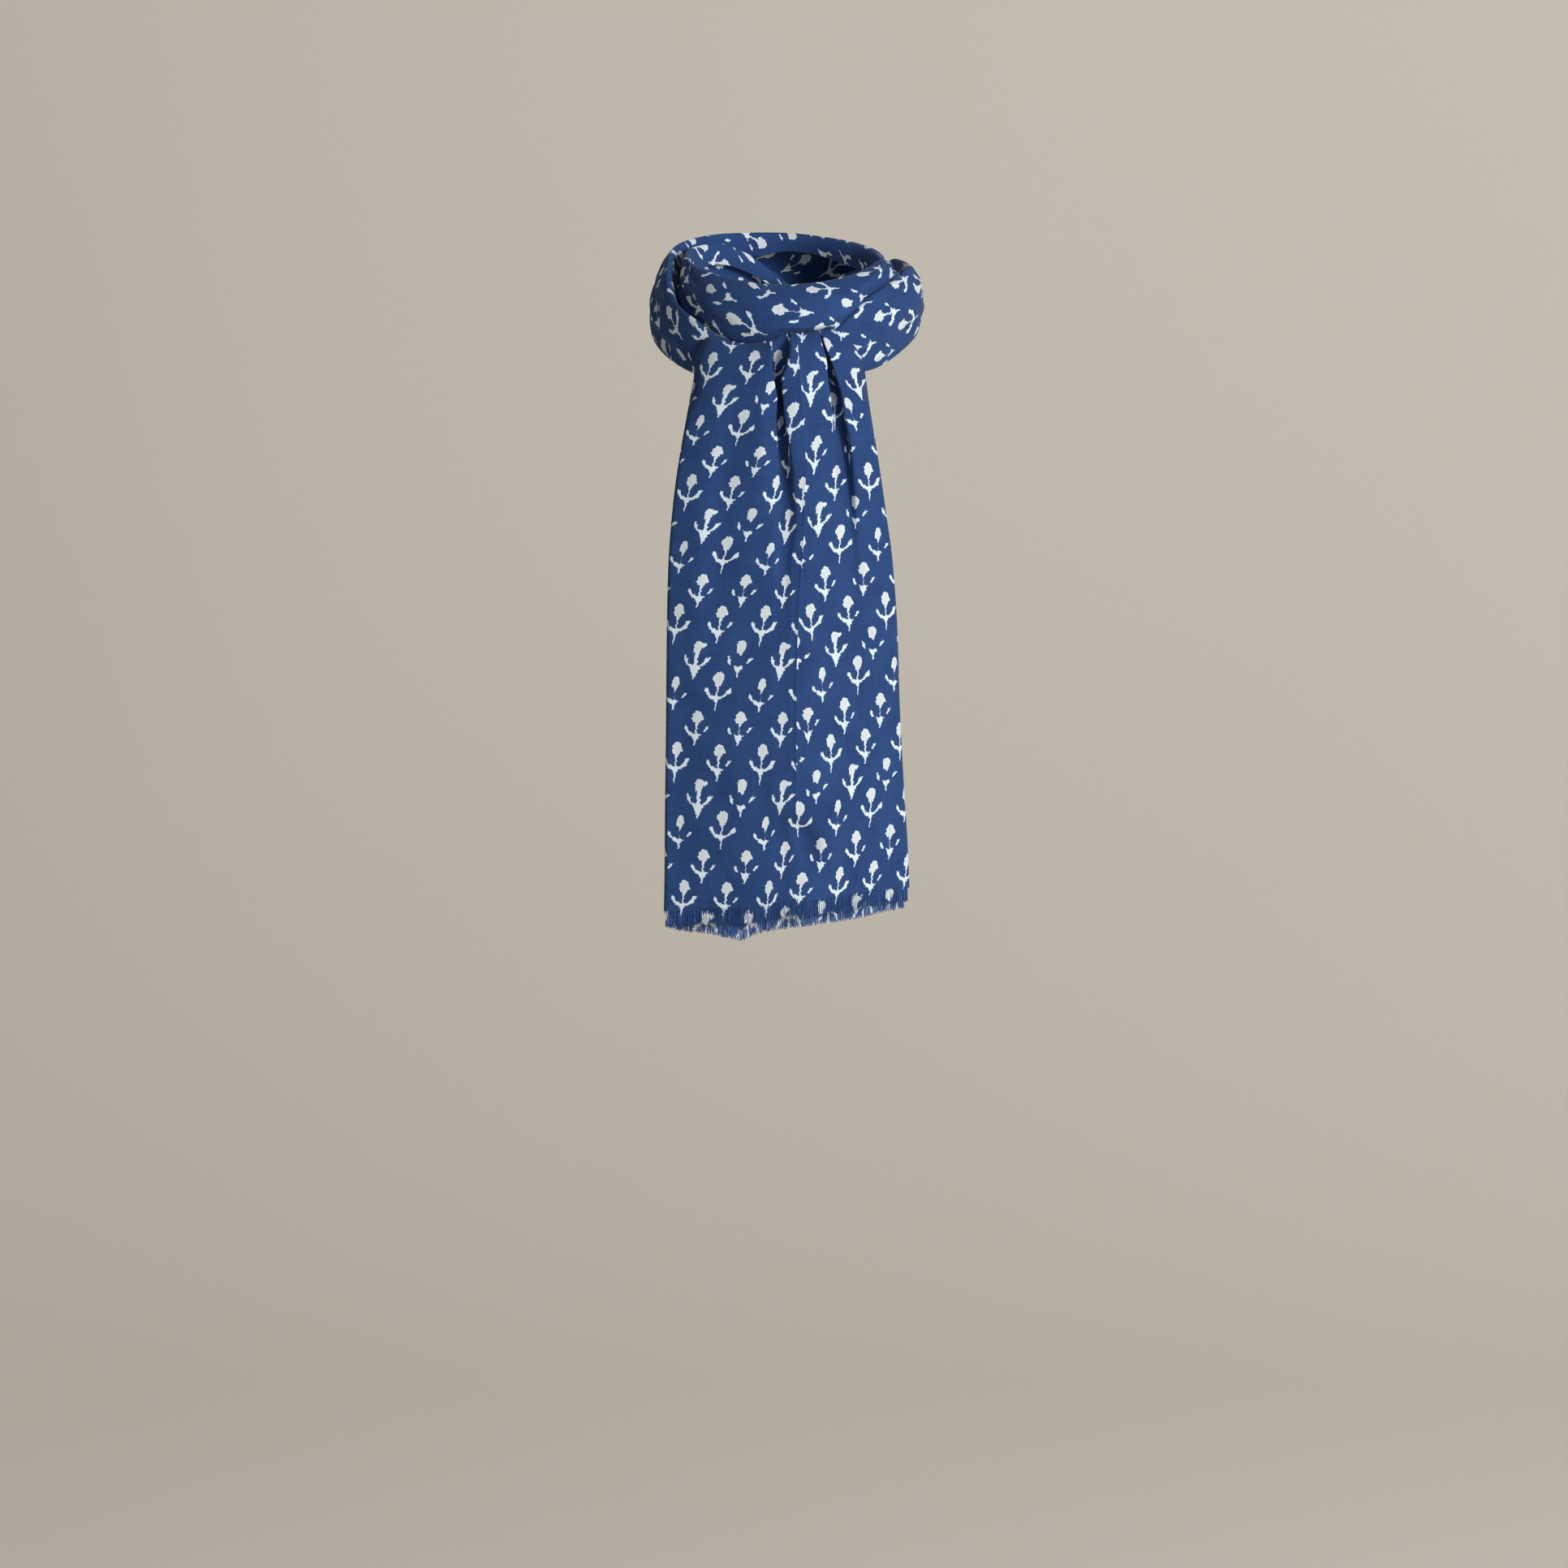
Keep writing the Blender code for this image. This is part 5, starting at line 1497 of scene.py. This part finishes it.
@dataclass
class Studio:
    """Pale floor that sweeps up into a backdrop, soft lights, and the camera."""

    floor_drop: float = 1.4
    wall_back: float = 3.2
    sweep: float = 1.6
    sweep_steps: int = 32
    half_width: float = 7.0
    near: float = -6.0
    wall_top: float = 5.0
    camera_at: tuple[float, float, float] = (0.0, -3.9616, 0.65754)
    camera_tilt: float = 75.5
    lens: float = 135.5

    def backdrop(self) -> bpy.types.Object:
        """Make the sweep of pale paper behind and under the scarf.

        Returns:
            The stage piece.
        """
        profile = [(self.near, -self.floor_drop)]
        for k in range(self.sweep_steps + 1):
            turn = math.pi / 2 * k / self.sweep_steps
            profile.append((self.wall_back - self.sweep + self.sweep * math.sin(turn),
                            -self.floor_drop + self.sweep * (1 - math.cos(turn))))
        profile.append((self.wall_back, self.wall_top))
        shape = bmesh.new()
        sides = [[shape.verts.new((x, y, z)) for y, z in profile]
                 for x in (-self.half_width, self.half_width)]
        for a, b, c, d in zip(sides[0], sides[1], sides[1][1:], sides[0][1:]):
            shape.faces.new((a, b, c, d))
        mesh = bpy.data.meshes.new("backdrop_paper")
        shape.to_mesh(mesh)
        shape.free()
        mesh.shade_smooth()
        mesh.materials.append(self.paper())
        piece = link(bpy.data.objects.new("backdrop_paper", mesh))
        return piece

    def paper(self) -> bpy.types.Material:
        """Matt pale paper with a faint unevenness.

        Returns:
            The material.
        """
        material = bpy.data.materials.new("matt_paper")
        material.use_nodes = True
        tree = material.node_tree
        shader = tree.nodes["Principled BSDF"]
        place = add_node(tree, "ShaderNodeTexCoord")
        cloud = add_node(tree, "ShaderNodeTexNoise",
                         {"Vector": place.outputs["Object"], "Scale": 0.6, "Detail": 2.0})
        tone = add_node(tree, "ShaderNodeMix",
                        {0: cloud.outputs["Fac"], 6: linear(PAPER_TINTS[0]), 7: linear(PAPER_TINTS[1])},
                        data_type="RGBA")
        tree.links.new(tone.outputs[2], shader.inputs["Base Color"])
        shader.inputs["Roughness"].default_value = 0.95
        shader.inputs["Specular IOR Level"].default_value = 0.1
        return material

    def light(self, lamp: Lamp) -> None:
        """Hang a light that faces the collar.

        Args:
            lamp: the light's sizes.
        """
        data = bpy.data.lights.new(lamp.name, "AREA")
        data.shape = "SQUARE"
        data.size = lamp.size
        data.energy = lamp.watts
        data.color = linear(LAMP_TINT)[:3]
        hung = link(bpy.data.objects.new(lamp.name, data))
        hung.location = lamp.at
        hung.rotation_euler = (Vector(LIT_PLACE) - Vector(lamp.at)).to_track_quat("-Z", "Y").to_euler()

    def build(self) -> None:
        """Set the stage, the lights, the air and the camera."""
        self.backdrop()
        for lamp in LAMPS:
            self.light(lamp)
        world = bpy.data.worlds.new("soft_air")
        world.use_nodes = True
        back = world.node_tree.nodes["Background"]
        back.inputs["Color"].default_value = linear(AIR_TINT)
        back.inputs["Strength"].default_value = AIR_STRENGTH
        bpy.context.scene.world = world
        bpy.context.scene.view_settings.view_transform = "Standard"
        data = bpy.data.cameras.new("photo_view")
        data.lens = self.lens
        data.sensor_width = 36.0
        camera = link(bpy.data.objects.new("photo_view", data))
        camera.location = self.camera_at
        camera.rotation_euler = (math.radians(self.camera_tilt), 0.0, 0.0)
        bpy.context.scene.camera = camera


def report(piece: bpy.types.Object) -> None:
    """Log a piece's name and the size of its mesh."""
    log.info("%s: %d points, %d faces", piece.name, len(piece.data.vertices),
             len(piece.data.polygons))


def main() -> None:
    """Build the scarf stretch by stretch, in the order that it is wound."""
    logging.basicConfig(level=logging.INFO, format="%(message)s")
    Studio().build()
    cotton = PrintedCotton().material()
    # Copies of the cloth's material for the fringe threads, with grounds lighter than the cloth's. This
    # is painted light that stands in for the light the thin threads catch, and the back fringe's threads
    # are painted lighter still than the front's.
    thread_painted_light = PrintedCotton("frayed_cotton_thread", ground="#3C629B", ground_deep="#1E3468",
                                sprig="#DCE7EE", bud="#D6DDE1").material()
    thread_painted_lighter = PrintedCotton("frayed_cotton_thread_painted_lighter", ground="#4A74B0", ground_deep="#22407A",
                               sprig="#E4EDF2", bud="#DDE5EA").material()

    throat = Turn("neck_turn", THROAT_SECTIONS, THROAT_CREASES, THROAT_LEANS, 0.0)
    left = Turn("left_turn", LEFT_SECTIONS, LEFT_CREASES, LEFT_LEANS, -75.0)
    right = Turn("right_turn", RIGHT_SECTIONS, RIGHT_CREASES, RIGHT_LEANS, 75.0)
    report(throat.build(cotton, ["left_turn_cloth", "right_turn_cloth"]))
    report(left.build(cotton, ["neck_turn_cloth"]))
    report(right.build(cotton, ["left_turn_cloth"]))

    front = FrontTail("front_tail", FRONT_ROWS, FRONT_HEM, FRONT_FOLDS)
    front.make_grid()
    front.set_print()
    front_piece = front.build(cotton)
    report(front_piece)
    back = BackTail("back_tail", BACK_ROWS, BACK_HEM, BACK_FOLDS)
    back.make_grid()
    back.set_print()
    back_piece = back.build(cotton)
    report(back_piece)

    front_threads = HemFringe("front_fringe_threads", 1000, 9.4, 21, uneven=0.09, sway=2.0,
                              tip=0.75).build(front, thread_painted_light, "front_fringe")
    back_threads = HemFringe("back_fringe_threads", 1100, 9.6, 22, uneven=0.14, sway=2.6,
                             tip=0.6).build(back, thread_painted_lighter, "back_fringe")
    report(front_threads)
    report(back_threads)


if __name__ == "__main__":
    main()
